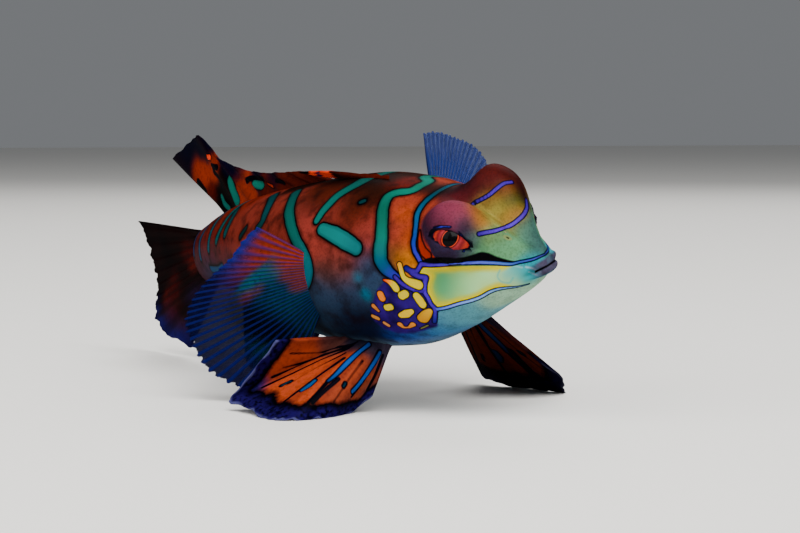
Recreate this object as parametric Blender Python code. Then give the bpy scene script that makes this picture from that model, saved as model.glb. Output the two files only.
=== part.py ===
"""Mandarinfish at life size, resting on the tips of its pelvic and anal fins.

The body is laid out along a bent midline. A place on it is given by its distance behind the
snout tip and an angle round the section: 0 at the fish's left, 90 at the back, 180 at its right.
Sizes are in millimetres and turned into metres where a point is placed.
"""
import math

import bmesh
import bpy
import numpy as np
from mathutils import Vector

MM = 0.001
GAP = 0.3                       # between a piece and what it grows from

# Pose: the snout tip stands over the floor ahead of the middle of the model, the head is turned
# to the fish's left and leans on its right side, and the tail droops and curls back.
NOSE = Vector((31.68, 0.73, 11.9))
HEAD_TURN, TAIL_TURN, FAN_TURN = 11.0, -12.0, -5.0
BEND_START, BEND_END = 8.0, 48.0
CURL_START, CURL_LENGTH = 46.0, 10.0
HEAD_PITCH, TAIL_PITCH = 3.0, 10.0
DROOP_START, DROOP_LENGTH = 30.0, 18.0
HEAD_ROLL, TAIL_ROLL = 23.0, 10.0
ROLL_START, ROLL_LENGTH = 5.0, 22.0
STEP = 0.5
REACH = 72.0

# Body lengths, counted from the snout tip
HEAD_START = 0.4
HEAD_END = 12.5
TRUNK_END = 33.0
STEM_END = 47.0

# Outline of the body: distance behind the snout tip, size
TOP = ((.4, -.3), (.6, .05), (1.1, .4), (2.8, 1.65), (5.3, 3.45), (8.4, 4.9), (12.4, 5.8), (17.4, 6.25),
       (22, 6.1), (27.6, 5.7), (33, 5.2), (39, 4.6), (44, 4.0), (47, 3.7))
BOTTOM = ((.4, -.9), (.6, -1.2), (1.1, -1.55), (2.8, -2.5), (5.3, -3.65), (8.4, -4.95), (12.4, -6.1),
          (17.4, -6.35), (22, -6.0), (27.6, -5.0), (33, -3.8), (39, -2.5), (44, -1.6), (47, -1.3))
WIDTH = ((.4, .4), (.6, .75), (1.1, 1.25), (2.8, 2.5), (5.8, 4.05), (8.4, 5.3), (12.4, 6.4), (17.4, 6.8),
         (22, 6.4), (27.6, 5.3), (33, 4.1), (39, 2.9), (44, 2.2), (47, 1.9))
WIDEST = ((.4, -.6), (1.1, -.65), (2.8, -.8), (5.8, -1.5), (8.4, -1.7), (12.4, -1.2), (17.4, -.2),
          (22, .3), (27.6, .7), (39, 1.2), (47, 1.3))
FULLNESS = ((.4, 2.0), (8, 2.15), (20, 2.2), (47, 2.0))

# Head. The right eye looks out sideways, the left one sits further round on a taller bulge.
BULGE_AT, BULGE_ANGLE, BULGE_RISE = 5.0, 59.0, 2.6
BULGE_LENGTH, BULGE_SPREAD, LEFT_BULGE_ANGLE, LEFT_BULGE_MORE = 2.5, 23.0, 64.0, 0.35
EYE_AT, EYE_ANGLE, EYE_DEPTH, EYE_RADIUS = 5.3, 50.0, 1.3, 1.4
LEFT_EYE_AT, LEFT_EYE_ANGLE, LEFT_EYE_DEPTH = 5.7, 43.0, 1.4
MOUTH_DROP, MOUTH_SLOPE, MOUTH_END = 0.5, 0.22, 1.7
LIP_RISE, LIP_OFF, LIP_THICK, GROOVE = 0.15, 0.33, 0.22, 0.24
NOSTRIL_AT, NOSTRIL_ANGLE, NOSTRIL_RADIUS = 2.4, 60.0, 0.16

# Fins: membrane, and how far a ray stands out of it on each side
MEMBRANE, ROOT, MARGIN, RIDGE = 0.5, 0.62, 0.34, 0.07


def curve(points):
    """Smooth line through the points that never runs past them."""
    x = np.array([p[0] for p in points], float)
    y = np.array([p[1] for p in points], float)
    h = np.diff(x)
    d = np.diff(y) / h
    m = np.zeros(len(x))
    m[0], m[-1] = d[0], d[-1]
    for k in range(1, len(x) - 1):
        if d[k - 1] * d[k] > 0:
            a, b = 2 * h[k] + h[k - 1], h[k] + 2 * h[k - 1]
            m[k] = (a + b) / (a / d[k - 1] + b / d[k])

    def value(t):
        t = min(max(t, x[0]), x[-1])
        k = min(int(np.searchsorted(x, t, side="right")) - 1, len(h) - 1)
        q = (t - x[k]) / h[k]
        return float(y[k] * (1 + 2 * q) * (1 - q) ** 2 + h[k] * m[k] * q * (1 - q) ** 2
                     + y[k + 1] * q * q * (3 - 2 * q) + h[k] * m[k + 1] * q * q * (q - 1))
    return value


top, bottom, width = curve(TOP), curve(BOTTOM), curve(WIDTH)
widest, fullness = curve(WIDEST), curve(FULLNESS)


def ramp(t, start, length):
    """0 before start, 1 past start + length, straight between."""
    return min(max((t - start) / length, 0.0), 1.0)


def ease(t):
    return t * t * (3 - 2 * t)


def directions(s):
    """Forward, left and up of the body at a distance behind the snout tip."""
    turn = HEAD_TURN + (TAIL_TURN - HEAD_TURN) * ramp(s, BEND_START, BEND_END - BEND_START)
    turn = math.radians(turn + (FAN_TURN - TAIL_TURN) * ramp(s, CURL_START, CURL_LENGTH))
    pitch = math.radians(HEAD_PITCH + (TAIL_PITCH - HEAD_PITCH) * ramp(s, DROOP_START, DROOP_LENGTH))
    roll = math.radians(HEAD_ROLL + (TAIL_ROLL - HEAD_ROLL) * ease(ramp(s, ROLL_START, ROLL_LENGTH)))
    forward = Vector((math.cos(turn) * math.cos(pitch), math.sin(turn) * math.cos(pitch), math.sin(pitch)))
    level = Vector((-math.sin(turn), math.cos(turn), 0))
    over = forward.cross(level)
    left = level * math.cos(roll) + over * math.sin(roll)
    up = over * math.cos(roll) - level * math.sin(roll)
    return forward, left, up


def midline():
    """Points of the midline every STEP, found by walking back from the snout tip."""
    points = [NOSE.copy()]
    for k in range(int(REACH / STEP)):
        points.append(points[-1] - directions((k + .5) * STEP)[0] * STEP)
    return points


MIDLINE = midline()


def spot(s, y, z):
    """Point s behind the snout tip, y to the left of the midline and z above it."""
    k = min(max(int(s / STEP), 0), len(MIDLINE) - 2)
    centre = MIDLINE[k].lerp(MIDLINE[k + 1], s / STEP - k)
    forward, left, up = directions(s)
    return centre + left * y + up * z


def mouth_height(s):
    return -MOUTH_DROP - MOUTH_SLOPE * s


def skin_radius(s, angle):
    """Distance of the skin from the middle of its section, with the eye bulges and the lips."""
    a = math.radians(angle)
    c, d = math.cos(a), math.sin(a)
    n = fullness(s)
    middle = widest(s)
    tall = (top(s) if d > 0 else bottom(s)) - middle
    r = ((abs(c) / width(s)) ** n + (abs(d / tall)) ** n) ** (-1 / n)
    side, rise = (LEFT_BULGE_ANGLE, BULGE_RISE + LEFT_BULGE_MORE) if c > 0 else (180 - BULGE_ANGLE, BULGE_RISE)
    near = ((s - BULGE_AT) / BULGE_LENGTH) ** 2 + ((angle - side) / BULGE_SPREAD) ** 2
    r += rise * math.exp(-near ** 1.4)
    off = abs(middle + r * d - mouth_height(s))
    fade = 1 - ease(ramp(s, MOUTH_END - .5, .9))
    r += fade * LIP_RISE * math.exp(-((off - LIP_OFF) / LIP_THICK) ** 2)
    r -= fade * ease(ramp(s, HEAD_START, .3)) * GROOVE * math.exp(-(off / .15) ** 2)
    return r


def skin(s, angle, lift=0.0):
    """Point on the skin, or lift outside it."""
    r = skin_radius(s, angle) + lift
    a = math.radians(angle)
    return spot(s, r * math.cos(a), widest(s) + r * math.sin(a))


def finish(bm, name, colour, rough):
    """Turn the mesh into a named piece with a material of its own, in metres."""
    bmesh.ops.scale(bm, vec=(MM, MM, MM), verts=bm.verts)
    bmesh.ops.triangulate(bm, faces=bm.faces)
    bmesh.ops.recalc_face_normals(bm, faces=bm.faces)
    mesh = bpy.data.meshes.new(name)
    bm.to_mesh(mesh)
    bm.free()
    piece = bpy.data.objects.new(name, mesh)
    material = bpy.data.materials.new(name + "_surface")
    material.use_nodes = True
    shader = material.node_tree.nodes["Principled BSDF"]
    shader.inputs["Base Color"].default_value = (*colour, 1)
    shader.inputs["Roughness"].default_value = rough
    mesh.materials.append(material)
    fish.objects.link(piece)
    return piece


def body_length(name, start, end, rings, around, crowd, colour):
    """One length of the body: a sheet rolled round the midline and closed by flat ends."""
    bm = bmesh.new()
    bmesh.ops.create_grid(bm, x_segments=rings, y_segments=around, size=.5)
    for v in bm.verts:
        s = start + (end - start) * (v.co.x + .5) ** crowd
        v.co = skin(s, 360 * (v.co.y + .5) - 90)
    bmesh.ops.remove_doubles(bm, verts=bm.verts, dist=1e-4)
    bmesh.ops.holes_fill(bm, edges=[e for e in bm.edges if e.is_boundary], sides=0)
    return finish(bm, name, colour, .35)


def fin(name, base, tip, rays, per_ray, rows, colour, bow=0.0, margin=MARGIN, notch=.04):
    """A fin: a sheet from its base line to its margin, thickened on both faces alike, more so
    along each ray. Whatever would reach under the floor is made flat on it."""
    bm = bmesh.new()
    columns = (rays - 1) * per_ray + 2
    bmesh.ops.create_grid(bm, x_segments=columns, y_segments=rows, size=.5)
    bmesh.ops.triangulate(bm, faces=bm.faces)
    made = bmesh.ops.extrude_face_region(bm, geom=bm.faces[:], use_keep_orig=True)
    for v in made["geom"]:
        if isinstance(v, bmesh.types.BMVert):
            v.co.z = 1
    half = 1 / columns

    def sheet(u, t):
        ray = min(max((u - half) / (1 - 2 * half), 0), 1) * (rays - 1)
        between = math.sin(math.pi * ray) ** 2 if 0 < ray < rays - 1 else 0
        root, end = base(u), tip(u)
        across = (base(min(u + .01, 1)) - base(max(u - .01, 0))).cross(end - root)
        point = root.lerp(end, t * (1 - notch * between * ease(t)))
        return point + across.normalized() * bow * (end - root).length * t * (1 - t), between

    for v in bm.verts:
        u, t, face = v.co.x + .5, v.co.y + .5, v.co.z * 2 - 1
        point, between = sheet(u, t)
        along = sheet(min(u + .01, 1), t)[0] - sheet(max(u - .01, 0), t)[0]
        out = sheet(u, min(t + .02, 1))[0] - sheet(u, max(t - .02, 0))[0]
        thick = ROOT + (MEMBRANE - ROOT) * ease(ramp(t, 0, .25))
        thick += (margin - MEMBRANE) * ease(ramp(t, .75, .25))
        thick += 2 * RIDGE * (1 - between) * (1 - ramp(t, .8, .2))
        place = point + along.cross(out).normalized() * face * thick / 2
        place.z = max(place.z, 0)
        v.co = place
    return finish(bm, name, colour, .45)


def cutter(name, bm):
    mesh = bpy.data.meshes.new(name)
    bmesh.ops.scale(bm, vec=(MM, MM, MM), verts=bm.verts)
    bm.to_mesh(mesh)
    bm.free()
    tool = bpy.data.objects.new(name, mesh)
    cutters.objects.link(tool)
    tool.hide_render = True
    tool.display_type = "WIRE"
    return tool


def cut(piece, tool):
    step = piece.modifiers.new(tool.name, "BOOLEAN")
    step.operation, step.solver, step.object = "DIFFERENCE", "EXACT", tool


for old in list(bpy.data.objects):
    bpy.data.objects.remove(old, do_unlink=True)
fish = bpy.data.collections.new("mandarinfish")
cutters = bpy.data.collections.new("cutters")
bpy.context.scene.collection.children.link(fish)
bpy.context.scene.collection.children.link(cutters)

# Head, trunk and tail stem
head = body_length("head", HEAD_START, HEAD_END, 26, 44, 1.35, (.25, .32, .12))
trunk = body_length("trunk", HEAD_END + GAP, TRUNK_END, 12, 40, 1, (.45, .10, .03))
tail_stem = body_length("tail_stem", TRUNK_END + GAP, STEM_END, 9, 32, 1, (.35, .08, .04))

# Eyes: balls in round sockets on the outer side of the bulges
for side, place, angle, depth in (("left", LEFT_EYE_AT, LEFT_EYE_ANGLE, LEFT_EYE_DEPTH),
                                  ("right", EYE_AT, 180 - EYE_ANGLE, EYE_DEPTH)):
    centre = skin(place, angle, -depth)
    bm = bmesh.new()
    bmesh.ops.create_icosphere(bm, subdivisions=3, radius=EYE_RADIUS)
    bmesh.ops.translate(bm, vec=centre, verts=bm.verts)
    finish(bm, "eye_" + side, (.5, .08, .02), .1)
    bm = bmesh.new()
    bmesh.ops.create_icosphere(bm, subdivisions=3, radius=EYE_RADIUS + GAP)
    bmesh.ops.translate(bm, vec=centre, verts=bm.verts)
    cut(head, cutter("socket_" + side, bm))

# Nostrils: a small round pit in front of each eye
for side, angle in (("left", NOSTRIL_ANGLE), ("right", 180 - NOSTRIL_ANGLE)):
    centre = skin(NOSTRIL_AT, angle, -.1)
    outward = (skin(NOSTRIL_AT, angle, 1) - skin(NOSTRIL_AT, angle)).normalized()
    bm = bmesh.new()
    bmesh.ops.create_cone(bm, cap_ends=True, segments=12, radius1=NOSTRIL_RADIUS,
                          radius2=NOSTRIL_RADIUS, depth=.8)
    bmesh.ops.rotate(bm, verts=bm.verts, matrix=outward.to_track_quat("Z", "Y").to_matrix())
    bmesh.ops.translate(bm, vec=centre, verts=bm.verts)
    cut(head, cutter("nostril_pit_" + side, bm))

# Tail fin: ten rays from the end of the stem, the lower ones the shorter
FAN_ROOT_LOW, FAN_ROOT_HIGH = -1.0, 3.5
FAN_BACK = curve(((0, 57.5), (.08, 62), (.2, 64.2), (.6, 61.7), (.85, 61.8), (1, 62.7)))
FAN_HEIGHT = curve(((0, -5.8), (.22, -2.4), (.5, .2), (.8, 3.4), (1, 6.6)))
fin("caudal_fin",
    lambda u: spot(STEM_END + GAP, 0, FAN_ROOT_LOW + (FAN_ROOT_HIGH - FAN_ROOT_LOW) * u),
    lambda u: spot(FAN_BACK(u), 0, FAN_HEIGHT(u)), 10, 4, 6, (.12, .04, .05))

# First back fin: four spines folded down along the back, tips laid to the right
FOLD_START, FOLD_BASE, FOLD_ASIDE = 14.2, 4.6, 1.0
fin("dorsal_fin_first",
    lambda u: spot(FOLD_START + FOLD_BASE * u, 0, top(FOLD_START + FOLD_BASE * u) + GAP),
    lambda u: spot(20.4 + 4.6 * u, -FOLD_ASIDE, top(20.4 + 4.6 * u) + .72 + .3 * u),
    4, 4, 4, (.4, .12, .04), notch=.1)

# Second back fin: eight rays laid back, the hind ones longer and steeper, with a broad end
BACK_FIN_START, BACK_FIN_END = 21.2, 40.5
ray_lift = curve(((0, 5), (.4, 16), (.7, 31), (.86, 45), (1, 27)))
ray_reach = curve(((0, 4), (.35, 4), (.7, 6.7), (.86, 8.7), (1, 12)))


def back_base(u):
    s = BACK_FIN_START + (BACK_FIN_END - BACK_FIN_START) * u
    return spot(s, 0, top(s) + GAP)


def back_tip(u):
    s = BACK_FIN_START + (BACK_FIN_END - BACK_FIN_START) * u
    lift, reach = math.radians(ray_lift(u)), ray_reach(u)
    forward, left, up = directions(s)
    return back_base(u) - forward * reach * math.cos(lift) + up * reach * math.sin(lift)


fin("dorsal_fin_second", back_base, back_tip, 8, 4, 6, (.4, .1, .04))

# Anal fin: eight rays down to the floor
ANAL_START, ANAL_END, ANAL_SWEEP = 27.0, 40.5, 4.6
anal_clearance = curve(((0, 1.7), (.3, -.1), (.8, -.1), (1, 1.3)))


def anal_base(u):
    s = ANAL_START + (ANAL_END - ANAL_START) * u
    return spot(s, 0, bottom(s) - GAP)


def anal_tip(u):
    s = ANAL_START + (ANAL_END - ANAL_START) * u + ANAL_SWEEP
    point = spot(s, 0, -9)
    point.z = anal_clearance(u)
    return point


fin("anal_fin", anal_base, anal_tip, 8, 4, 6, (.06, .06, .3))

# Pectoral fins: fans of many fine rays behind the gill covers
# The right one is laid back, the left one lifted and held out. Rays by their rise and their length
PECTORAL_AT = 18.0
RIGHT_RISE = ((0, 38), (.15, 9), (.35, -2), (.55, -10), (.75, -24), (.9, -40), (1, -57))
LEFT_RISE = ((0, 88), (.15, 66), (.5, 30), (1, -25))
RIGHT_REACH = ((0, 3.9), (.12, 5.7), (.25, 8.1), (.4, 10.3), (.55, 11.3), (.7, 11.2), (.85, 9.6), (1, 6.2))
LEFT_REACH = ((0, 5.4), (.25, 6.6), (.55, 8.6), (.75, 8.6), (1, 6))
for side, high, low, sign, out, rises, reaches in (
        ("right", 160.0, 198.0, -1, 24.0, RIGHT_RISE, RIGHT_REACH),
        ("left", 20.0, -18.0, 1, 70.0, LEFT_RISE, LEFT_REACH)):
    ray_rise, ray_reach_side = curve(rises), curve(reaches)

    def fan_base(u, high=high, low=low):
        return skin(PECTORAL_AT, high + (low - high) * u, GAP)

    def fan_tip(u, high=high, low=low, sign=sign, out=out, rise=ray_rise, reach=ray_reach_side):
        forward, left, up = directions(PECTORAL_AT)
        e, o = math.radians(rise(u)), math.radians(out)
        level = -forward * math.cos(o) + left * sign * math.sin(o)
        return fan_base(u, high, low) + (level * math.cos(e) + up * math.sin(e)) * reach(u)

    fin("pectoral_fin_" + side, fan_base, fan_tip, 28, 2, 5, (.1, .08, .4), notch=.03)

# Pelvic fins: a short spine and five rays each, spread out sideways onto the floor.
# Margin from the spine backwards: share of the margin, behind the snout tip, left of it, above the floor
PELVIC_MARGIN_RIGHT = ((0, 13.4, -6.2, 1.3), (.1, 14.3, -7.3, .1), (.22, 13.0, -10.0, -.1),
                       (.4, 12.6, -12.6, -.1), (.6, 14.0, -14.3, -.1), (.8, 20.2, -14.2, .8),
                       (1, 16.9, -12.2, 5.3))
PELVIC_MARGIN_LEFT = ((0, 12.9, 8.6, 2.8), (.2, 14.0, 11.2, 1.6), (.4, 16.4, 13.2, -.1), (.6, 20.2, 12.6, -.1),
                      (.8, 24.0, 10.8, .8), (1, 21.5, 9.6, 4.8))
PELVIC_START, PELVIC_BASE = 14.0, 3.4
for side, low, margin_points in (("right", 225.0, PELVIC_MARGIN_RIGHT), ("left", -45.0, PELVIC_MARGIN_LEFT)):
    lines = [curve([(p[0], p[axis]) for p in margin_points]) for axis in (1, 2, 3)]

    def pelvic_base(u, low=low):
        return skin(PELVIC_START + PELVIC_BASE * u, low, GAP)

    def pelvic_tip(u, lines=lines):
        return Vector((NOSE.x - lines[0](u), NOSE.y + lines[1](u), lines[2](u)))

    fin("pelvic_fin_" + side, pelvic_base, pelvic_tip, 6, 6, 6, (.45, .12, .03), notch=.05)
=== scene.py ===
"""A mandarinfish at life size, resting on the bottom on its spread pelvic fins."""
import math
import bmesh
import bpy
import numpy as np
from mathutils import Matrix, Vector, geometry
from mathutils.bvhtree import BVHTree


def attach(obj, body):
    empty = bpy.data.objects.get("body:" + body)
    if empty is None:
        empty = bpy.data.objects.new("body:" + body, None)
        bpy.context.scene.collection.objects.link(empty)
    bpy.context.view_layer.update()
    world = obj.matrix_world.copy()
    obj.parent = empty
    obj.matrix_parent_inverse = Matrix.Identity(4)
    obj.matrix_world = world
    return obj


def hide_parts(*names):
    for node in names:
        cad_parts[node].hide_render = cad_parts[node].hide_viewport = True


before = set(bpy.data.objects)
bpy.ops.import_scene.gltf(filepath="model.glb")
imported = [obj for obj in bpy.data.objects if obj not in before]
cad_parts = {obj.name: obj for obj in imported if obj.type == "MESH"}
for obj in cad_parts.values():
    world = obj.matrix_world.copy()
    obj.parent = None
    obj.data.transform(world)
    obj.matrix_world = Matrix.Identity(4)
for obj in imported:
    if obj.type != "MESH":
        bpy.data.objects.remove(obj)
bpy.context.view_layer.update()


# Camera. A short telephoto close to the bottom, looking at the fish's right side from well ahead
# of it. Places on the photograph are given in its own pixels, 800 by 533.
MM = 0.001
NOSE = np.array((31.68, 0.73, 11.9))            # the snout tip over the floor, in mm
LOOK_TURN, LOOK_DROP = math.radians(57.4), math.radians(3.4)
NOSE_AWAY, NOSE_RIGHT, NOSE_ABOVE = 152.0, 10.45, 0.81
PHOTO_WIDE, PHOTO_HIGH = 800, 533
FILM_WIDE, LENS, CLIP_NEAR, CLIP_FAR = 36.0, 100.0, 0.01, 20

ahead = np.array((-math.sin(LOOK_TURN) * math.cos(LOOK_DROP),
                  math.cos(LOOK_TURN) * math.cos(LOOK_DROP), -math.sin(LOOK_DROP)))
rightward = np.array((math.cos(LOOK_TURN), math.sin(LOOK_TURN), 0))
upward = np.cross(rightward, ahead)
standpoint = NOSE - ahead * NOSE_AWAY - rightward * NOSE_RIGHT - upward * NOSE_ABOVE
pixel_lens = LENS / FILM_WIDE * PHOTO_WIDE


def placed(name, data):
    """A new object in the scene, at the origin, for a mesh, a lamp or a camera."""
    made = bpy.data.objects.new(name, data)
    bpy.context.scene.collection.objects.link(made)
    return made


camera = placed("camera", bpy.data.cameras.new("camera"))
camera.data.lens, camera.data.sensor_width = LENS, FILM_WIDE
camera.data.clip_start, camera.data.clip_end = CLIP_NEAR, CLIP_FAR
camera.location = Vector(standpoint) * MM
camera.rotation_euler = Vector(ahead).to_track_quat("-Z", "Y").to_euler()
bpy.context.scene.camera = camera


def pixel_ray(x, y):
    """Direction from the camera through a pixel of the photograph."""
    across, down = (x - PHOTO_WIDE / 2) / pixel_lens, (y - PHOTO_HIGH / 2) / pixel_lens
    return Vector(ahead + rightward * across - upward * down).normalized()


def pixels(points):
    """Where points, in mm, fall on the photograph."""
    far = points - standpoint
    depth = far @ ahead
    return np.stack((PHOTO_WIDE / 2 + pixel_lens * (far @ rightward) / depth,
                     PHOTO_HIGH / 2 - pixel_lens * (far @ upward) / depth), -1)


# Studio. A plain pale floor, a broad soft light high on the camera's right, a weaker one on its
# left, one from above and behind, and a pale even room.
def linear(hex_colour):
    """An sRGB colour such as 1b8a80 as linear red, green, blue and alpha."""
    parts = [int(hex_colour[k:k + 2], 16) / 255 for k in (0, 2, 4)]
    return [p / 12.92 if p <= .04045 else ((p + .055) / 1.055) ** 2.4 for p in parts] + [1.0]


def add(tree, kind, feeds=(), out=0, **settings):
    """Add a node with its settings and give its output. feeds gives each input a value or a socket
    to follow."""
    made = tree.nodes.new("ShaderNode" + kind)
    for name, value in settings.items():
        setattr(made, name, value)
    for name, value in dict(feeds).items():
        if isinstance(value, bpy.types.NodeSocket):
            tree.links.new(value, made.inputs[name])
        else:
            made.inputs[name].default_value = value
    return made.outputs[out]


def made_of(name, shape):
    """The smooth object of a finished bmesh, which is then let go."""
    mesh = bpy.data.meshes.new(name)
    shape.to_mesh(mesh)
    shape.free()
    mesh.shade_smooth()
    return placed(name, mesh)


def material(name, settings):
    """A new material with its shader's settings, its node tree and its shader."""
    made = bpy.data.materials.new(name)
    made.use_nodes = True
    shader = made.node_tree.nodes["Principled BSDF"]
    for socket, value in settings.items():
        shader.inputs[socket].default_value = value
    return made, made.node_tree, shader


FLOOR_SIZE, FLOOR_BELOW, FLOOR_COLOUR, FLOOR_ROUGHNESS = 6.0, 0.00002, "efece6", 0.85
ROOM_COLOUR, ROOM_STRENGTH, LIT_POINT = "dfe3e8", 0.24, Vector((0, 0, 0.008))
# Each light's name, place, size and watts
LIGHTS = (
    ("key", (0.4, -0.1, 0.46), 0.45, 7.5), ("fill", (0.06, -0.55, 0.4), 0.6, 3.6),
    ("back", (-0.3, 0.3, 0.4), 0.4, 1.3),
)
sheet = bmesh.new()
bmesh.ops.create_grid(sheet, x_segments=1, y_segments=1, size=FLOOR_SIZE / 2)
bmesh.ops.translate(sheet, vec=(0, 0, -FLOOR_BELOW), verts=sheet.verts)
floor = made_of("floor", sheet)
floor.data.materials.append(material(
    "pale_matt_paper", {"Base Color": linear(FLOOR_COLOUR), "Roughness": FLOOR_ROUGHNESS})[0])

room = bpy.data.worlds.new("room")
room.use_nodes = True
room.node_tree.nodes["Background"].inputs["Color"].default_value = linear(ROOM_COLOUR)
room.node_tree.nodes["Background"].inputs["Strength"].default_value = ROOM_STRENGTH
bpy.context.scene.world = room

for name, place, wide, watts in LIGHTS:
    light = placed(name, bpy.data.lights.new(name, "AREA"))
    light.data.size, light.data.energy = wide, watts
    light.location = place
    light.rotation_euler = (LIT_POINT - light.location).to_track_quat("-Z", "Y").to_euler()


# Skin. Head, trunk and tail stem are under one smooth scaleless skin, wet with slime. It is laid
# out along the bent midline: a place on it is a distance behind the snout tip and an angle round
# the section, 0 at the fish's left, 90 at the back and 180 at its right. A point of the
# straightened body is (distance behind the tip, distance left, height), all in mm.
HEAD_TURN, TAIL_TURN, FAN_TURN = 11.0, -12.0, -5.0
BEND_START, BEND_END = 8.0, 48.0
CURL_START, CURL_LENGTH = 46.0, 10.0
HEAD_PITCH, TAIL_PITCH = 3.0, 10.0
DROOP_START, DROOP_LENGTH = 30.0, 18.0
HEAD_ROLL, TAIL_ROLL = 23.0, 10.0
ROLL_START, ROLL_LENGTH = 5.0, 22.0
STEP, REACH = 0.5, 72.0
SNOUT_TIP, STEM_END = 0.4, 48.4
# Outlines of the body: distance behind the snout tip, then height, half width or fullness
TOP = (
    (.4, -.3), (.6, .05), (1.1, .4), (2.8, 1.65), (5.3, 3.45), (8.4, 4.9), (12.4, 5.8), (17.4, 6.25),
    (22, 6.1), (27.6, 5.7), (33, 5.2), (39, 4.6), (44, 4.0), (47, 3.7), (48.4, 3.3),
)
BOTTOM = (
    (.4, -.9), (.6, -1.2), (1.1, -1.55), (2.8, -2.5), (5.3, -3.65), (8.4, -4.95), (12.4, -6.1), (17.4, -6.35),
    (22, -6.0), (27.6, -5.0), (33, -3.8), (39, -2.5), (44, -1.6), (47, -1.3), (48.4, -.9),
)
WIDTH = (
    (.4, .4), (.6, .75), (1.1, 1.25), (2.8, 2.5), (5.8, 4.05), (8.4, 5.3), (12.4, 6.4), (17.4, 6.8),
    (22, 6.4), (27.6, 5.3), (33, 4.1), (39, 2.9), (44, 2.2), (46.6, 1.85), (48.4, .3),
)
WIDEST = (
    (.4, -.6), (1.1, -.65), (2.8, -.8), (5.8, -1.5), (8.4, -1.7), (12.4, -1.2), (17.4, -.2), (22, .3),
    (27.6, .7), (39, 1.2), (47, 1.3),
)
FULLNESS = ((.4, 2.0), (8, 2.15), (20, 2.2), (47, 2.0))
BULGE_AT, BULGE_ANGLE, BULGE_RISE = 5.0, 59.0, 2.6
BULGE_LENGTH, BULGE_SPREAD, LEFT_BULGE_ANGLE, LEFT_BULGE_MORE = 2.5, 23.0, 64.0, 0.35
EYE_AT, EYE_ANGLE, EYE_DEPTH, EYE_RADIUS = 5.3, 50.0, 1.3, 1.4
LEFT_EYE_AT, LEFT_EYE_ANGLE, LEFT_EYE_DEPTH = 5.7, 43.0, 1.4
OPENING_SEEN, LID_LONG, LID_SHORT, LID_TILT, LEFT_EYE_BACK = (448.5, 239.0), 1.4, 0.50, 34.0, 20.0
LID_OVER, LID_RIM, LID_EDGE, LID_REACH, LID_FALL = 0.13, 0.07, 0.10, 2.3, 1.4
OPENING_REACH, TUCKED = 2.6, 0.35                # where an opening can be, and how deep its skin goes
MOUTH_DROP, MOUTH_SLOPE, MOUTH_END, MOUTH_FADE = 0.55, 0.22, 1.5, 0.9
LIP_RISE, LIP_OFF, LIP_THICK, GROOVE, GROOVE_WIDE = 0.2, 0.33, 0.22, 0.26, 0.12
LIP_CREASE, LIP_CREASE_OFF, LIP_CREASE_WIDE = 0.12, 0.792, 0.14
CHIN_CREASE, CHIN_CREASE_AT, CHIN_CREASE_WIDE = 0.2, 1.45, 0.4
NOSTRIL_AT, NOSTRIL_ANGLE, LEFT_NOSTRIL_ANGLE, NOSTRIL_RADIUS = 2.4, 65.0, 48.0, 0.11
NOSTRIL_RISE, NOSTRIL_RIM, NOSTRIL_PIT = 0.05, 0.08, 0.06
FAR_OFF = 9.0                                    # a distance at which no marking shows


def curve(points):
    """Smooth line through the points that never runs past them."""
    x, y = np.array(points, float).T
    h = np.diff(x)
    d = np.diff(y) / h
    m = np.concatenate((d[:1], np.zeros(len(x) - 2), d[-1:]))
    a, b = 2 * h[1:] + h[:-1], h[1:] + 2 * h[:-1]
    same = d[:-1] * d[1:] > 0
    m[1:-1][same] = ((a + b)[same] / (a[same] / d[:-1][same] + b[same] / d[1:][same]))

    def value(t):
        t = np.clip(t, x[0], x[-1])
        k = np.clip(np.searchsorted(x, t, side="right") - 1, 0, len(h) - 1)
        q = (t - x[k]) / h[k]
        return (y[k] * (1 + 2 * q) * (1 - q) ** 2 + h[k] * m[k] * q * (1 - q) ** 2
                + y[k + 1] * q * q * (3 - 2 * q) + h[k] * m[k + 1] * q * q * (q - 1))
    return value


top, bottom, width, widest, fullness = map(curve, (TOP, BOTTOM, WIDTH, WIDEST, FULLNESS))


def ramp(t, start, length):
    return np.clip((t - start) / length, 0, 1)


def ease(t):
    return t * t * (3 - 2 * t)


def swell(x, middle, wide):
    """A smooth bump, 1 at its middle."""
    return np.exp(-((x - middle) / wide) ** 2)


def unit(v):
    return v / np.linalg.norm(v, axis=-1, keepdims=True)


def directions(s):
    """Forward, left and up of the body at distances behind the snout tip."""
    s = np.atleast_1d(np.asarray(s, float))
    turn = HEAD_TURN + (TAIL_TURN - HEAD_TURN) * ramp(s, BEND_START, BEND_END - BEND_START)
    turn = np.radians(turn + (FAN_TURN - TAIL_TURN) * ramp(s, CURL_START, CURL_LENGTH))
    pitch = np.radians(HEAD_PITCH + (TAIL_PITCH - HEAD_PITCH) * ramp(s, DROOP_START, DROOP_LENGTH))
    roll = np.radians(HEAD_ROLL + (TAIL_ROLL - HEAD_ROLL) * ease(ramp(s, ROLL_START, ROLL_LENGTH)))[:, None]
    forward = np.stack((np.cos(turn) * np.cos(pitch), np.sin(turn) * np.cos(pitch), np.sin(pitch)), -1)
    level = np.stack((-np.sin(turn), np.cos(turn), np.zeros_like(turn)), -1)
    over = np.cross(forward, level)
    return forward, level * np.cos(roll) + over * np.sin(roll), over * np.cos(roll) - level * np.sin(roll)


halfway = (np.arange(int(REACH / STEP)) + .5) * STEP
MIDLINE = NOSE - np.concatenate((np.zeros((1, 3)), np.cumsum(directions(halfway)[0] * STEP, axis=0)))


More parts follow.
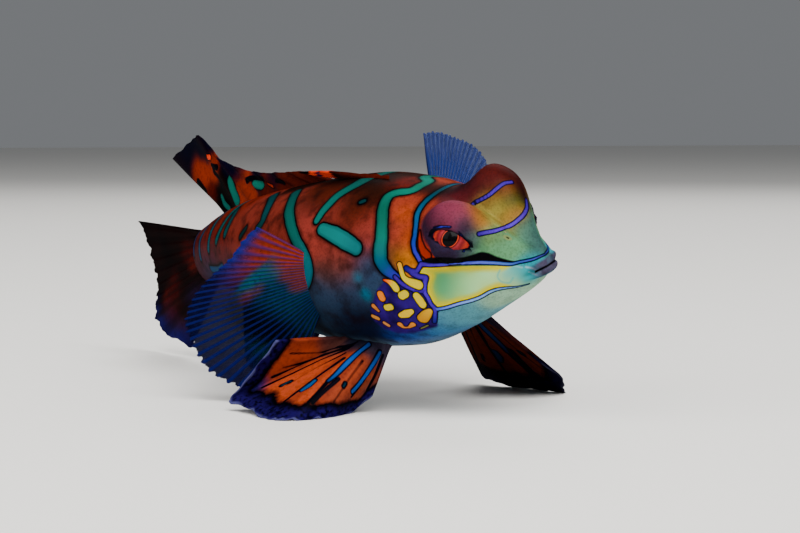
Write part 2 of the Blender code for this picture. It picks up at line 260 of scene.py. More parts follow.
def posed(points):
    """Straightened points brought into the pose."""
    s = points[:, 0]
    k = np.clip((s / STEP).astype(int), 0, len(MIDLINE) - 2)
    part = (s / STEP - k)[:, None]
    forward, left, up = directions(s)
    return MIDLINE[k] * (1 - part) + MIDLINE[k + 1] * part + left * points[:, 1:2] + up * points[:, 2:3]


def off_mouth(s, height):
    """How far a height is from the line of the mouth."""
    return np.abs(height + MOUTH_DROP + MOUTH_SLOPE * s)


def off_nostril(s, angle):
    """How far a place is from the nostril of its side."""
    turn = np.where(np.cos(np.radians(angle)) > 0, LEFT_NOSTRIL_ANGLE, 180 - NOSTRIL_ANGLE)
    return np.hypot(s - NOSTRIL_AT, np.radians(angle - turn) * width(s))


def skin_radius(s, angle):
    """Distance of the skin from the middle of its section."""
    a = np.radians(angle)
    c, d = np.cos(a), np.sin(a)
    n, middle = fullness(s), widest(s)
    tall = np.where(d > 0, top(s), bottom(s)) - middle
    r = (np.abs(c / width(s)) ** n + np.abs(d / tall) ** n) ** (-1 / n)
    side = np.where(c > 0, LEFT_BULGE_ANGLE, 180 - BULGE_ANGLE)
    near = ((s - BULGE_AT) / BULGE_LENGTH) ** 2 + ((angle - side) / BULGE_SPREAD) ** 2
    r = r + (BULGE_RISE + np.where(c > 0, LEFT_BULGE_MORE, 0)) * np.exp(-near ** 1.4)
    off = off_mouth(s, middle + r * d)
    fade = 1 - ease(ramp(s, MOUTH_END - .5, MOUTH_FADE))
    r += fade * LIP_RISE * swell(off, LIP_OFF, LIP_THICK)
    r -= fade * LIP_CREASE * swell(off, LIP_CREASE_OFF, LIP_CREASE_WIDE)
    r -= CHIN_CREASE * swell(s, CHIN_CREASE_AT, CHIN_CREASE_WIDE) * ease(ramp(-d, .3, .5))
    near = off_nostril(s, angle)
    r += NOSTRIL_RISE * (swell(near, NOSTRIL_RADIUS, NOSTRIL_RIM) - 1.5 * swell(near, 0, NOSTRIL_PIT))
    return r - fade * ease(ramp(s, SNOUT_TIP, .3)) * GROOVE * swell(off, 0, GROOVE_WIDE)


def straight_skin(s, angle, lift=0.0):
    """Points of the straightened skin, or lift outside it, without the openings of the lids."""
    r, a = skin_radius(s, angle) + lift, np.radians(angle)
    return np.stack((s, r * np.cos(a), widest(s) + r * np.sin(a)), -1)


eye_places = dict(zip(("left", "right"), straight_skin(
    np.array((LEFT_EYE_AT, EYE_AT)), np.array((LEFT_EYE_ANGLE, 180 - EYE_ANGLE)),
    -np.array((LEFT_EYE_DEPTH, EYE_DEPTH)))))
eye_centre = {side: posed(place[None])[0] for side, place in eye_places.items()}


def outward_gaze(x, y):
    """Direction from the right eye's middle to where a pixel's ray meets the ball, along the
    straightened body: backwards, to the left, up."""
    way, gap = np.array(pixel_ray(x, y)), standpoint - eye_centre["right"]
    reach = -(gap @ way) - math.sqrt(max((gap @ way) ** 2 - gap @ gap + EYE_RADIUS ** 2, 0))
    forward, left, up = (d[0] for d in directions(EYE_AT))
    gaze = unit(gap + way * reach)
    return np.array((-(gaze @ forward), gaze @ left, gaze @ up))


opening_way = outward_gaze(*OPENING_SEEN)


def side_way(way, side):
    """A direction found for the right eye, or for the left one, which looks further back."""
    back = math.radians(LEFT_EYE_BACK if side == "left" else 0)
    x, y, z = way
    return np.array((x * math.cos(back) - y * math.sin(back), y * math.cos(back) + x * math.sin(back), z))


def tilted_axes(out, up, degrees):
    """Long and short axes of an oval that faces out, tilted from the level."""
    level, tilt = unit(np.cross(up, out)), math.radians(degrees)
    rise = np.cross(out, level)
    return level * math.cos(tilt) + rise * math.sin(tilt), rise * math.cos(tilt) - level * math.sin(tilt)


def lids(points, side):
    """Wrap the skin round an eyeball and leave a pointed oval opening between the lids."""
    sign = np.array((1, -1 if side == "left" else 1, 1))
    out = side_way(opening_way, side)
    along, across = tilted_axes(out, (0, 0, 1.0), LID_TILT)
    away = (points - eye_places[side]) * sign
    far = np.linalg.norm(away, axis=1)
    way = away / np.maximum(far, 1e-6)[:, None]
    x, y = way @ along * EYE_RADIUS / LID_LONG, way @ across * EYE_RADIUS / LID_SHORT
    # q is 1 on the edge of the opening and grows outwards, over the rim and the furrow round it
    q = np.sqrt(np.abs(x) ** 1.5 + np.abs(y) ** 1.8)
    q = np.where((way @ out > 0) & (far < OPENING_REACH), q, FAR_OFF)
    closed = ease(ramp(q, .86, .2))
    rim = swell(q, 1.22, .16) - .8 * swell(q, 1.7, .2)
    cover = EYE_RADIUS + LID_EDGE + LID_OVER * ease(ramp(q, 1, .5)) + LID_RIM * (rim + .5 * swell(q, 2.2, .3))
    fall = 1 - ease(ramp(far, LID_REACH, LID_FALL))
    lift = (cover - far + np.sqrt((cover - far) ** 2 + .02)) / 2 * fall
    hugged = np.where(fall > 0, far + lift, far)
    hugged = np.where(hugged > cover + .1, hugged + LID_RIM * fall * rim * (q < FAR_OFF), hugged)
    new_far = closed * hugged + (1 - closed) * (EYE_RADIUS - TUCKED)
    return (eye_places[side] + way * new_far[:, None] * sign,
            np.where(new_far < EYE_RADIUS + TUCKED, q, FAR_OFF))


# The skin's mesh: a sheet rolled round the midline and closed at both ends, finer at the head
RINGS, ROUND, CROWDING, SIDE_DETAIL = 400, 244, 1.55, 0.08
TWIN_REACH, TWIN_FADE = 1.2, 3.0                 # round the left eye, places shift with it this far
CHUNK = 4000                                     # points of the skin compared with strokes at a time
roll = bmesh.new()
bmesh.ops.create_grid(roll, x_segments=RINGS, y_segments=ROUND, size=.5)
grid = np.array([v.co[:2] for v in roll.verts]) + .5
behind = SNOUT_TIP + (STEM_END - SNOUT_TIP) * grid[:, 0] ** CROWDING
angle = 360 * grid[:, 1] - 90
angle = angle - np.degrees(SIDE_DETAIL * np.sin(np.radians(2 * angle)))


def dressed_skin(s, turn):
    """Straightened skin with its lids, and how far each point is from an opening's middle."""
    points, right_q = lids(straight_skin(s, turn), "right")
    points, left_q = lids(points, "left")
    return points, np.minimum(right_q, left_q)


keep = {name: roll.verts.layers.float.new(name) for name in ("behind", "angle")}
for v, place, s, a in zip(roll.verts, posed(dressed_skin(behind, angle)[0]), behind, angle):
    v.co = place
    v[keep["behind"]], v[keep["angle"]] = s, a
bmesh.ops.remove_doubles(roll, verts=roll.verts, dist=1e-3)
bmesh.ops.holes_fill(roll, edges=[e for e in roll.edges if e.is_boundary], sides=0)
bmesh.ops.triangulate(roll, faces=roll.faces)
bmesh.ops.recalc_face_normals(roll, faces=roll.faces)
roll.verts.ensure_lookup_table()
roll.faces.ensure_lookup_table()
behind = np.array([v[keep["behind"]] for v in roll.verts])
angle = np.array([v[keep["angle"]] for v in roll.verts])
skin_points = np.array([v.co[:] for v in roll.verts])
straight, lid = dressed_skin(behind, angle)
skin_tree = BVHTree.FromBMesh(roll)


def on_skin(x, y):
    """Straightened place of the skin seen at a pixel, or None off the fish."""
    hit, _, face, _ = skin_tree.ray_cast(Vector(standpoint), pixel_ray(x, y))
    return None if hit is None else straightened(hit, face)


def straightened(hit, face):
    """Straightened place of a point on one of the skin's faces."""
    corners = [v.index for v in roll.faces[face].verts]
    return np.array(geometry.barycentric_transform(
        hit, *(Vector(skin_points[c]) for c in corners), *(Vector(straight[c]) for c in corners)))


def right_twins(s, turn):
    """The right side's skin places for those on the left, where the eye is set a little otherwise."""
    far = np.hypot(s - LEFT_EYE_AT, np.radians(turn - LEFT_EYE_ANGLE) * width(LEFT_EYE_AT))
    near = 1 - ease(ramp(far, TWIN_REACH, TWIN_FADE))
    turn = 180 - turn - near * (EYE_ANGLE - LEFT_EYE_ANGLE)
    return dressed_skin(s + near * (EYE_AT - LEFT_EYE_AT), turn)[0]


def onto_skin(places):
    """The skin's places nearest to straightened ones."""
    hits = (skin_tree.find_nearest(Vector(place)) for place in posed(places))
    return np.array([straightened(hit, face) for hit, _, face, _ in hits])


def rgb(hex_colour):
    return np.array(linear(hex_colour)[:3])


def graded(t, stops, colours):
    """The colour at t between colours given at stops."""
    shades = np.array([rgb(colour) for colour in colours])
    return np.stack([np.interp(t, stops, shades[:, k]) for k in range(3)], -1)


def along_line(places, spacing):
    """The smooth line through places on the photograph, cut into short steps."""
    places = np.array(places, float)
    if len(places) == 1:
        return places
    walked = np.concatenate(([0], np.cumsum(np.linalg.norm(np.diff(places, axis=0), axis=1))))
    steps = np.linspace(0, walked[-1], max(int(walked[-1] / spacing), 2))
    return np.stack([curve(list(zip(walked, places[:, k])))(steps) for k in range(2)], -1)


def stroke_samples(strokes, found):
    """Every stroke as round touches: place, half width, colour. A stroke is its half widths in mm
    and its colours, both from start to end, and its places on the photograph."""
    touches = []
    for halves, colours, places in strokes:
        line = along_line(places, 1.0)
        t = np.linspace(0, 1, len(line))
        halves = np.atleast_1d(halves)
        half = np.interp(t, np.linspace(0, 1, len(halves)), halves)
        shade = graded(t, np.linspace(0, 1, len(colours)), colours)
        for k, (x, y) in enumerate(line):
            spot = found(x, y)
            if spot is not None:
                touches.append((*spot, half[k], *shade[k]))
    return np.array(touches)


def nearest_touch(points, touches):
    """Signed distance from the strokes' edges, how deep inside (0 to 1), and the colour there."""
    distance = np.full(len(points), FAR_OFF)
    depth, colour = np.zeros(len(points)), np.zeros((len(points), 3))
    for start in range(0, len(points), CHUNK):
        part = slice(start, start + CHUNK)
        gap = np.linalg.norm(points[part, None, :] - touches[None, :, :3], axis=-1) - touches[:, 3]
        best = gap.argmin(1)
        distance[part] = gap[np.arange(len(best)), best]
        depth[part] = np.clip(-distance[part] / touches[best, 3], 0, 1)
        colour[part] = touches[best, 4:]
    return distance, depth, colour


def washed(points, *layers):
    """Soft ground colour from layers of zones and their finder. A zone is a colour, a reach in mm
    and its places."""
    total, weight = np.zeros((len(points), 3)), np.zeros(len(points))
    for zones, found in layers:
        for colour, reach, places in zones:
            shade = rgb(colour)
            for spot in (found(*place) for place in places):
                if spot is not None:
                    far = np.linalg.norm(points - spot, axis=1) / reach
                    w = np.exp(-far ** 2) + 1e-4 / (1 + far ** 4)
                    total += w[:, None] * shade
                    weight += w
    return total / weight[:, None]


def inside(outline, seen):
    """Signed distance in pixels from an outline on the photograph, negative inside."""
    corners = np.array(outline, float)
    result = np.full(len(seen), 1e9)
    within = np.zeros(len(seen), bool)
    for a, b in zip(corners, np.roll(corners, -1, axis=0)):
        side = b - a
        t = np.clip(((seen - a) @ side) / (side @ side), 0, 1)
        result = np.minimum(result, np.linalg.norm(seen - a - t[:, None] * side, axis=1))
        if a[1] != b[1]:
            crosses = (a[1] > seen[:, 1]) != (b[1] > seen[:, 1])
            cut = a[0] + (seen[:, 1] - a[1]) * (b[0] - a[0]) / (b[1] - a[1])
            within ^= crosses & (seen[:, 0] < cut)
    return np.where(within, -result, result)


# The markings, read along the photograph from the shoulder forwards and then back to the tail
# Most teal bands darken towards their upper ends on the back: painted shade
BANDS = (
    ((.4, .42, .42, .44, .42, .42, .46, .5, .46, .28), ("08463e", "0b6656", "0c7262", "0b685a", "0a5c4e",
     "0b6254", "0c6c60", "0c6468", "144c70", "3c22a0"), ((427, 172), (425, 180), (418, 187), (409, 191),
     (399, 192), (390, 195), (385, 202), (382.5, 212), (382, 225), (381.5, 238), (380, 250), (380, 258),
     (383, 265), (389, 272), (396, 277))),
    ((.15, .18, .2, .2, .19, .17, .15), ("102e2c", "14404a", "144c60", "165678", "1c4c88", "3438a0",
     "4c28b4"), ((452, 183), (445, 187), (436, 193), (428, 199), (421, 207), (417, 216), (416, 226),
     (415, 235), (413.5, 243), (414.5, 250), (418, 257), (421, 263))),
    ((.75, .65, .52, .46, .4, .32), ("0a4a46", "0a5c54", "0c6860"), ((374, 175), (366, 179), (357, 184),
     (346, 190), (337, 196), (329, 204), (322, 212), (317, 220))),
    ((.46, .6, .62, .52), ("0b6e6a", "0c7270", "0a686a"), ((322, 229), (333, 234), (345, 241), (356, 248))),
    ((.46, .5, .5, .48, .46, .52, .5, .42), ("094442", "0a5850", "0b645c", "0d6466", "12606e", "10465a"),
     ((296, 192), (291, 203), (289, 212), (290, 221), (293, 232), (297, 242), (303, 252), (307, 262),
     (308, 270), (306, 280), (300, 289), (296, 295))),
    ((.45, .48, .4), ("10363a", "13464a", "103838"), ((274, 195), (270, 203), (266, 212), (262, 222),
     (257, 229))),
    (.42, ("10383c", "13484a"), ((236, 211), (230, 222), (225, 233))),
    (.22, ("123032",), ((246, 228), (240, 237))), (.2, ("10393c",), ((361, 202), (364, 201))),
)
LINES = (
    ((.13, .11, .11, .12, .12, .1, .07, .06, .03), ("4c1ca0", "5838b4", "5c58c8", "646cd4", "6070c8",
     "5070b0", "3c5c9c", "40509c", "3c4488"), ((421, 264), (432, 265), (445, 264.5), (460, 263.5),
     (480, 262.5), (495, 263), (510, 264), (520, 262), (532, 259.5), (541, 256), (549, 252.5))),
    ((.13, .14, .14, .17, .18), ("5020a4", "4a1c98", "42188e", "401688", "2c107a"), ((421, 264), (419, 268),
     (416, 271.5), (411, 271), (406.5, 268.5))),
    ((.17, .17, .17, .13, .13, .15, .13), ("42188c", "4a1e98", "5020a4", "5828b4", "5028a4", "48289c",
     "2c2880"), ((412, 273), (419, 276.5), (426, 278), (424.5, 285), (424.5, 291), (428, 298), (431, 304),
     (435, 309.5), (435, 316), (434.5, 322))),
    ((.13, .15, .15, .17), ("44228c", "461a94", "4c1ca0", "441890"), ((395, 277), (401, 283), (409, 287.5),
     (417, 290.5), (424, 291))),
    ((.09, .1, .1, .09, .06, .02), ("5870c8", "7890d8", "84a8d8", "7ca0cc", "6c90b8", "5c88a8"),
     ((436, 309.5), (445, 308), (460, 303.5), (470, 301), (480, 297.5), (490, 292), (497, 289.5), (506, 288),
     (516, 287), (529, 284))),
)
FOLDS = (
    (.05, ("84a4a8", "98a0b4", "8c90a8"), ((526, 267), (533, 268.5), (539, 271), (544, 273))),
    (.04, ("7ca4a8", "8c98a8"), ((529, 272), (537, 275))),
    (.04, ("78b0ac", "84a4a8"), ((514, 266), (522, 267.5))),
    (.04, ("4c9c98", "5ca49c", "54a09c", "4c9c98"), ((500, 270), (497.5, 276), (502, 282), (509, 283),
     (513, 278))),
    (.04, ("b08860",), ((505.2, 232), (505.6, 232.2))), (.035, ("a07868",), ((498, 213.6), (498.3, 213.8))),
)
LID_LINES = (
    (.06, ("2a2474", "3c349c", "2c2878"), ((434, 228), (440, 226.8), (450, 227))),
    (.055, ("3c34a8", "2c2878"), ((458, 232.5), (462, 236.5), (465.5, 241))),
    (.055, ("40348c", "4038a8", "2a2460"), ((433.5, 238.5), (439, 242.5), (445.5, 246.5))),
    (.05, ("302878", "483ea8", "302878"), ((450.5, 248), (457, 250), (464, 251))),
)
FOREHEAD_LINES = (
    ((.12, .12, .11), ("3c1c80", "542ca0", "482490"), ((472, 205), (476, 202), (482, 199), (489, 195),
     (495, 190), (500, 186), (505, 183), (512, 182))),
    (.125, ("402084", "5c38ac", "6440b8", "543098", "3c2080"), ((479, 234), (486, 232.5), (494, 231),
     (502, 228.5), (511, 225), (518, 220), (524, 214), (527, 207), (526.5, 200))),
)
SPOTS = (
    ((.17, .16, .17, .22, .3, .33), ("c89008", "c0ae00", "c4b200", "c8b400"), ((399.5, 264.5), (401, 270),
     (403.5, 277), (408, 281), (414, 283.5), (418.5, 285))),
    (.29, ("c4b200",), ((402, 295.7), (405, 294))),
    ((.26, .3, .28), ("c8b400",), ((416.5, 296), (419.5, 300), (422.5, 304.5))),
    ((.2, .3, .18), ("ccac08", "ccb008"), ((401, 315.5), (406, 314), (411.5, 311.5))),
    ((.4, .36, .22), ("b88820", "c49c14"), ((423, 318.5), (426, 315), (429.5, 311.5))),
    ((.07, .14, .25, .26), ("c03c10", "d87c10", "c4b200", "c8b400"), ((384, 280), (390, 282.3), (393.6, 285),
     (396, 288.5))),
    (.26, ("d07c10",), ((380.5, 294.5), (382, 298))), (.24, ("c0ae00",), ((386.8, 307.6), (390.4, 307))),
    ((.17, .09), ("b87434", "a86c30"), ((373.5, 306), (378.5, 311))),
    (.16, ("b8803c",), ((373, 316.3), (378, 318.5))), (.14, ("b8804c",), ((384.5, 323), (388.5, 325.5))),
    ((.2, .08, .08, .2), ("c88434", "b87434", "c88434"), ((400, 324.5), (404, 327.5), (408, 327.5),
     (413, 324.5))),
    (.07, ("6c6a40",), ((421, 328.5), (428, 325.5))),
)
PANEL_FADE_FROM, PANEL_FADE_LONG, PANEL_FADE = 498, 34, 0.92
OWN_ANGLE, OWN_TURN, OWN_END, OWN_FADE = 46, 14, 7.5, 3
BELLY, BELLY_DROP, BELLY_FADE, BELLY_START, BELLY_LENGTH = "5c7284", 3.9, 1.6, 6, 4
CLOUDED, CLOUD_SHARE, CLOUD_MORE, CLOUD_START, CLOUD_LENGTH = "1c0d0a", 0.25, 0.35, 7.5, 4
CRESCENT_OUTLINE = (
    (419.8, 230), (421.5, 240), (425, 248), (431, 254), (431, 257.5), (426, 259), (421.5, 255), (418.5, 247),
    (418.3, 238),
)
INK_OUTLINE = (
    (428, 258.5), (436, 257.5), (446, 257.5), (456, 258.5), (466, 257), (474, 254.5), (481, 252), (488, 253),
    (497, 257), (507, 260), (517, 262), (517, 264), (500, 265), (480, 265), (460, 265), (440, 265),
    (424, 266), (421, 261),
)
PATCH_OUTLINE = (
    (386, 281), (378, 289), (374, 300), (371, 310), (375, 321), (385, 328), (398, 333), (413, 333),
    (425, 330), (437, 326), (437, 312), (432, 305), (428, 296), (425, 287), (421, 279), (412, 277),
    (405, 283), (398, 281), (392, 278),
)
PANEL_OUTLINE = (
    (419.5, 271), (423.5, 267.8), (445, 267), (470, 266), (495, 266), (515, 266), (530, 267), (538, 271),
    (534, 280), (526, 284), (506, 287), (497, 288), (490, 291), (480, 296), (470, 300), (460, 302.5),
    (445, 307), (437, 308.5), (433, 305), (429, 296), (427, 288), (428, 281), (430, 276), (427, 274.5),
    (420.5, 275),
)
GROUND = (
    # Snout: grey-green, darker teal along its ridge
    ("64946c", 1.0, ((492, 244), (505, 247), (515, 245), (487, 252))),
    ("58806a", .9, ((520, 230), (500, 240))),
    ("40605c", .9, ((532, 236), (541, 247), (537, 228), (547, 249))),
    ("78742c", .45, ((490, 240), (500, 237), (512, 233))),
    # Forehead: olive between the two violet lines, orange along them, brick to near black above
    ("908844", .9, ((490, 218), (500, 217), (486, 208), (498, 208))),
    ("4c5426", .8, ((512, 198), (508, 205))),
    ("9c6420", .7, ((514, 214), (506, 219), (482, 222), (476, 210))),
    ("80481e", .6, ((500, 194), (508, 189), (488, 203))),
    ("542220", 1.0, ((498, 172), (507, 172), (488, 184), (498, 180))),
    ("2c1014", .7, ((503, 164), (515, 176), (524, 195), (521, 190))),
    # Eye bulge: plum above, indigo-grey below
    ("5c2428", .9, ((472, 192), (462, 196))), ("28181e", .8, ((456, 188), (468, 186))),
    ("803e50", 1.0, ((442, 208), (450, 211), (462, 206))), ("4c2438", .9, ((430, 216), (440, 220))),
    ("342a40", .8, ((426, 230), (432, 245), (448, 254), (468, 226))),
    ("404854", .6, ((474, 240), (470, 250))),
    # Nape and gill cover: brick, orange and ochre down to the yellow spots, dark between
    ("b03c18", .6, ((419.5, 243), (424, 252), (428, 257))), ("a8501c", .7, ((403, 215), (408, 238))),
    ("8e3e2c", 1.2, ((398, 225), (396, 245), (404, 205))),
    ("bc7814", .7, ((411, 260), (404, 260), (413, 265))), ("705024", .7, ((392, 256), (398, 254))),
    ("641c12", 1.0, ((404, 183), (412, 178), (440, 180))), ("30140e", 1.0, ((395, 178), (430, 186))),
    # Throat and belly: pale teal to blue. The pale chin and throat zones are partly their own colour and
    # partly painted light, where the light fell strongest
    ("5c8e98", 1.3, ((470, 316), (455, 322))),
    ("90b098", 1.0, ((498, 300), (508, 294), (520, 290), (512, 290))),
    ("3c6c90", 1.5, ((430, 334), (446, 330))), ("224084", 1.2, ((405, 338), (420, 337))),
    ("648c94", 1.2, ((480, 325), (495, 313))), ("208c98", .7, ((538, 264), (533, 266), (526, 267))),
    # Flank: brick with brown clouds, slate with blurred teal spots, near-black lower down
    ("883c34", 1.3, ((335, 213), (306, 226), (312, 240), (330, 250), (366, 232), (340, 258), (300, 212),
     (372, 225))),
    ("2c1810", 1.2, ((350, 205), (309, 203), (372, 195))),
    ("522010", 1.4, ((362, 215), (318, 195), (345, 210))), ("54382e", 1.1, ((328, 272), (340, 266))),
    ("30425a", 1.5, ((345, 290), (330, 300), (370, 270))), ("24364a", 1.5, ((318, 312), (335, 325))),
    ("141c30", 1.5, ((352, 316), (365, 325), (345, 330))), ("1e4a60", 1.3, ((300, 325), (290, 318))),
    ("18687c", .4, ((357, 277), (365, 294))), ("1a0e0a", 1.2, ((380, 176), (340, 181), (310, 184))),
    ("763228", 1.4, ((250, 214), (284, 205), (232, 228), (240, 250), (278, 222), (250, 238))),
    ("15202a", 1.2, ((282, 300), (270, 285))),
)
PANEL_WASH = (
    ("b4b010", .5, ((424, 271), (432, 271), (430, 284), (432, 296), (438, 304))),
    ("b4b048", .5, ((450, 269), (470, 269), (446, 303), (460, 299), (487, 289))),
    ("4c946c", 1.1, ((440, 281), (442, 290), (450, 284))),
    ("98c488", 1.0, ((462, 280), (478, 280), (458, 291))), ("a4c898", .8, ((486, 277), (475, 287))),
    ("b0c080", .5, ((496, 270), (500, 284), (512, 284))), ("68a89c", .7, ((506, 277), (516, 276))),
    ("1c8890", .7, ((524, 269), (532, 270))),
)
# Ground and bands of the tail stem that the photograph doesn't show, by distance and angle
STEM_GROUND = (
    ("6c2416", 2.6, ((34, 95), (38, 130), (42, 100), (44, 140), (36, 165))),
    ("3a1a18", 1.8, ((46, 110), (46.5, 160), (40, 95))), ("241c38", 2.2, ((38, 200), (44, 195), (34, 215))),
    ("1c3350", 2.2, ((36, 240), (42, 240), (30, 250))),
)
STEM_BANDS = (
    (.34, "0f4e50", ((33.5, 88), (34.5, 112), (35.5, 138), (37, 160))),
    (.32, "124c58", ((37.5, 88), (38.5, 116), (39.5, 145), (40, 170))),
    (.3, "16425c", ((41.5, 90), (42.5, 122), (43.5, 150), (43.5, 182))),
    (.28, "18345c", ((45.5, 92), (46, 130), (46, 168))), (.34, "124a60", ((29, 190), (31, 200), (33.5, 206))),
    (.3, "124060", ((36, 196), (38.5, 204), (41, 206))),
)

# Markings are read on the right side, and the left side takes those of its places' twins there
right_side, left = straight.copy(), straight[:, 1] > 0
right_side[left] = right_twins(behind[left], angle[left])
stem = []
for half, colour, places in STEM_BANDS:
    order, steps = np.arange(len(places)), np.linspace(0, len(places) - 1, 40)
    for place in straight_skin(*(curve(list(zip(order, line)))(steps) for line in zip(*places))):
        stem.append((*place, half, *rgb(colour)))
fields = {}
for name, touches in (("band", np.concatenate((stroke_samples(BANDS, on_skin), np.array(stem)))),
                      ("line", stroke_samples(LINES, on_skin)), ("spot", stroke_samples(SPOTS, on_skin)),
                      ("fold", stroke_samples(FOLDS, on_skin))):
    fields[name], fields[name + "_depth"], fields[name + "_colour"] = nearest_touch(right_side, touches)
del fields["fold_depth"]                         # a fold is soft, with no darker edge
# The forehead's lines are seen on both sides, and those of the left lids go round the left eye
lid_lines = stroke_samples(LID_LINES, on_skin)
left_lid_lines = lid_lines.copy()
from_eye = (lid_lines[:, :3] - eye_places["right"]).T
left_lid_lines[:, :3] = onto_skin(eye_places["left"] + side_way(from_eye, "left").T * (1, -1, 1))
gap, depth, shade = nearest_touch(straight, np.concatenate(
    (stroke_samples(FOREHEAD_LINES, on_skin), lid_lines, left_lid_lines)))
closer = gap < fields["line"]
for name, values in (("line", gap), ("line_depth", depth), ("line_colour", shade)):
    fields[name][closer] = values[closer]


def round_body(s, turn):
    """Straightened place on the skin by its distance and angle."""
    return straight_skin(np.array([s]), np.array([turn]))[0]


# Outlined areas count only where the right side faces the camera
seen = pixels(posed(right_side))
turn = np.where(angle < 90, 180 - angle, angle)
level_skin, shifted, turned = (posed(straight_skin(behind + back, turn + round_by))
                               for back, round_by in ((0, 0), (.05, 0), (0, .5)))
facing = np.einsum("ij,ij->i", np.cross(shifted - level_skin, turned - level_skin), level_skin - standpoint)
pixel_size = NOSE_AWAY / pixel_lens
for name, outline in (("patch", PATCH_OUTLINE), ("panel", PANEL_OUTLINE), ("ink", INK_OUTLINE),
                      ("crescent", CRESCENT_OUTLINE)):
    fields[name] = np.where(facing < 0, inside(outline, seen) * pixel_size, FAR_OFF)
# Towards the mouth the panel loses its yellow rim and melts into the teal of the lips
mouthward = ease(ramp(seen[:, 0], PANEL_FADE_FROM, PANEL_FADE_LONG))
on_panel = fields["panel"] < 5
fields["panel_rim"] = np.where(on_panel, fields["panel"] - mouthward, FAR_OFF)
fields["panel"] = np.where(on_panel, fields["panel"] * (1 - PANEL_FADE * mouthward), FAR_OFF)
off = off_mouth(straight[:, 0], straight[:, 2])
fields["lip"] = (1 - ease(ramp(behind, MOUTH_END - 1.0, 1.2))) * (1 - ease(ramp(off, .42, .3)))
fields["nostril"] = off_nostril(behind, angle)
fields["mouth"] = off + 2 * ramp(behind, MOUTH_END - .4, .6)
ground = washed(right_side, (GROUND, on_skin), (STEM_GROUND, round_body))
# The forehead and the top of the left bulge are seen in the photograph, so they keep their own ground
own = (ease(ramp(angle, OWN_ANGLE, OWN_TURN)) * (1 - ease(ramp(behind, OWN_END, OWN_FADE))) * left)[:, None]
ground = ground * (1 - own) + washed(straight, (GROUND, on_skin)) * own
# The belly is a pale blue-grey
under = ease(ramp(-straight[:, 2], BELLY_DROP, BELLY_FADE)) * ease(ramp(behind, BELLY_START, BELLY_LENGTH))
under = under[:, None]
ground = ground * (1 - under) + rgb(BELLY) * under
panel_wash = washed(right_side, (PANEL_WASH, on_skin))

bmesh.ops.scale(roll, vec=(MM, MM, MM), verts=roll.verts)
skin = made_of("skin", roll)


def store(mesh, **fields):
    """Keep values, or colours, on the points of a mesh for its material."""
    for name, values in fields.items():
        if values.ndim == 1:
            made = mesh.attributes.new(name, "FLOAT", "POINT")
            made.data.foreach_set("value", values.astype(np.float32))
        else:
            rgba = np.concatenate((values, np.ones((len(values), 1))), 1).astype(np.float32)
            made = mesh.color_attributes.new(name, "FLOAT_COLOR", "POINT")
            made.data.foreach_set("color", rgba.ravel())


# Brown clouds are faint on the head and stronger behind it
cloudy = CLOUD_SHARE + CLOUD_MORE * ease(ramp(behind, CLOUD_START, CLOUD_LENGTH))[:, None]
clouded = ground * (1 - cloudy) + rgb(CLOUDED) * cloudy
store(skin.data, ground=ground, clouded=clouded, panel_wash=panel_wash, lid=lid, **fields)


def laid_over(tree, under, *layers):
    """A colour with layers over it. A layer is its colour, its field, and the field's values where
    nothing and all of it shows."""
    for over, field, start, end in layers:
        edge = add(tree, "MapRange", {"Value": field, "From Min": start, "From Max": end})
        over = linear(over) if isinstance(over, str) else over
        under = add(tree, "Mix", {0: edge, 6: under, 7: over}, data_type="RGBA", out=2)
    return under


def drawn_over(tree, under, stroke, off, depth, border, dark, share, border_at, depth_at, soft):
    """A colour with strokes over it: a border, and inside it their own colour with darker edges."""
    deep = add(tree, "Mix", {0: share, 6: stroke, 7: linear(dark)}, data_type="RGBA", out=2)
    stroke = laid_over(tree, deep, (stroke, depth, *depth_at))
    return laid_over(tree, under, (border, off, *border_at), (stroke, off, .03, soft))


# Wet skin: no scales, so soft light goes a little way in and a thin film of slime gives a sharp
# gloss. Dark grains about 0.15 mm across and brown clouds of about 1 mm lie in the ground colour.
GRAIN, CLOUD, WAVER = 0.00016, 0.0011, 0.0006
wet_skin, tree, shader = material("wet_skin", {
    "Roughness": .5, "IOR": 1.36, "Specular IOR Level": 0, "Coat Weight": .05, "Coat Roughness": .3,
    "Coat IOR": 1.38, "Subsurface Weight": .06, "Subsurface Scale": .0004})
place = add(tree, "TexCoord", out="Object")
field = {name: add(tree, "Attribute", attribute_name=name, out=2) for name in (
    "band", "line", "spot", "band_depth", "line_depth", "spot_depth", "patch", "panel", "panel_rim",
    "ink", "crescent", "lid", "lip", "mouth", "nostril", "fold")}
tint = {name: add(tree, "Attribute", attribute_name=name) for name in (
    "band_colour", "line_colour", "spot_colour", "fold_colour", "ground", "clouded", "panel_wash")}
grain, cloud, waver = (
    add(tree, "TexNoise", {"Vector": place, "Scale": 1 / size, "Detail": detail})
    for size, detail in ((GRAIN, 3), (CLOUD, 4), (WAVER, 2)))
edge_shift = add(tree, "MapRange", {"Value": waver, "To Min": -.05, "To Max": .05})
edge = {name: add(tree, "Math", {0: field[name], 1: edge_shift}, operation="ADD")
        for name in ("band", "patch")}
colour = laid_over(tree, tint["ground"], (tint["clouded"], cloud, .46, .7))
speckled = add(tree, "Mix", {0: .2, 6: colour, 7: linear("120c0c")}, data_type="RGBA", out=2)
colour = laid_over(tree, colour, (speckled, grain, .48, .64))
shaded = add(tree, "Mix", {0: .6, 6: colour, 7: linear("140a0a")}, data_type="RGBA", out=2)
violet = laid_over(tree, linear("381474"), ("1e0a42", cloud, .35, .7))
rim = laid_over(tree, linear("bcb000"), (tint["panel_wash"], field["panel_rim"], -.16, -.5))
lips = laid_over(tree, linear("545064"), ("3c3648", waver, .4, .65))
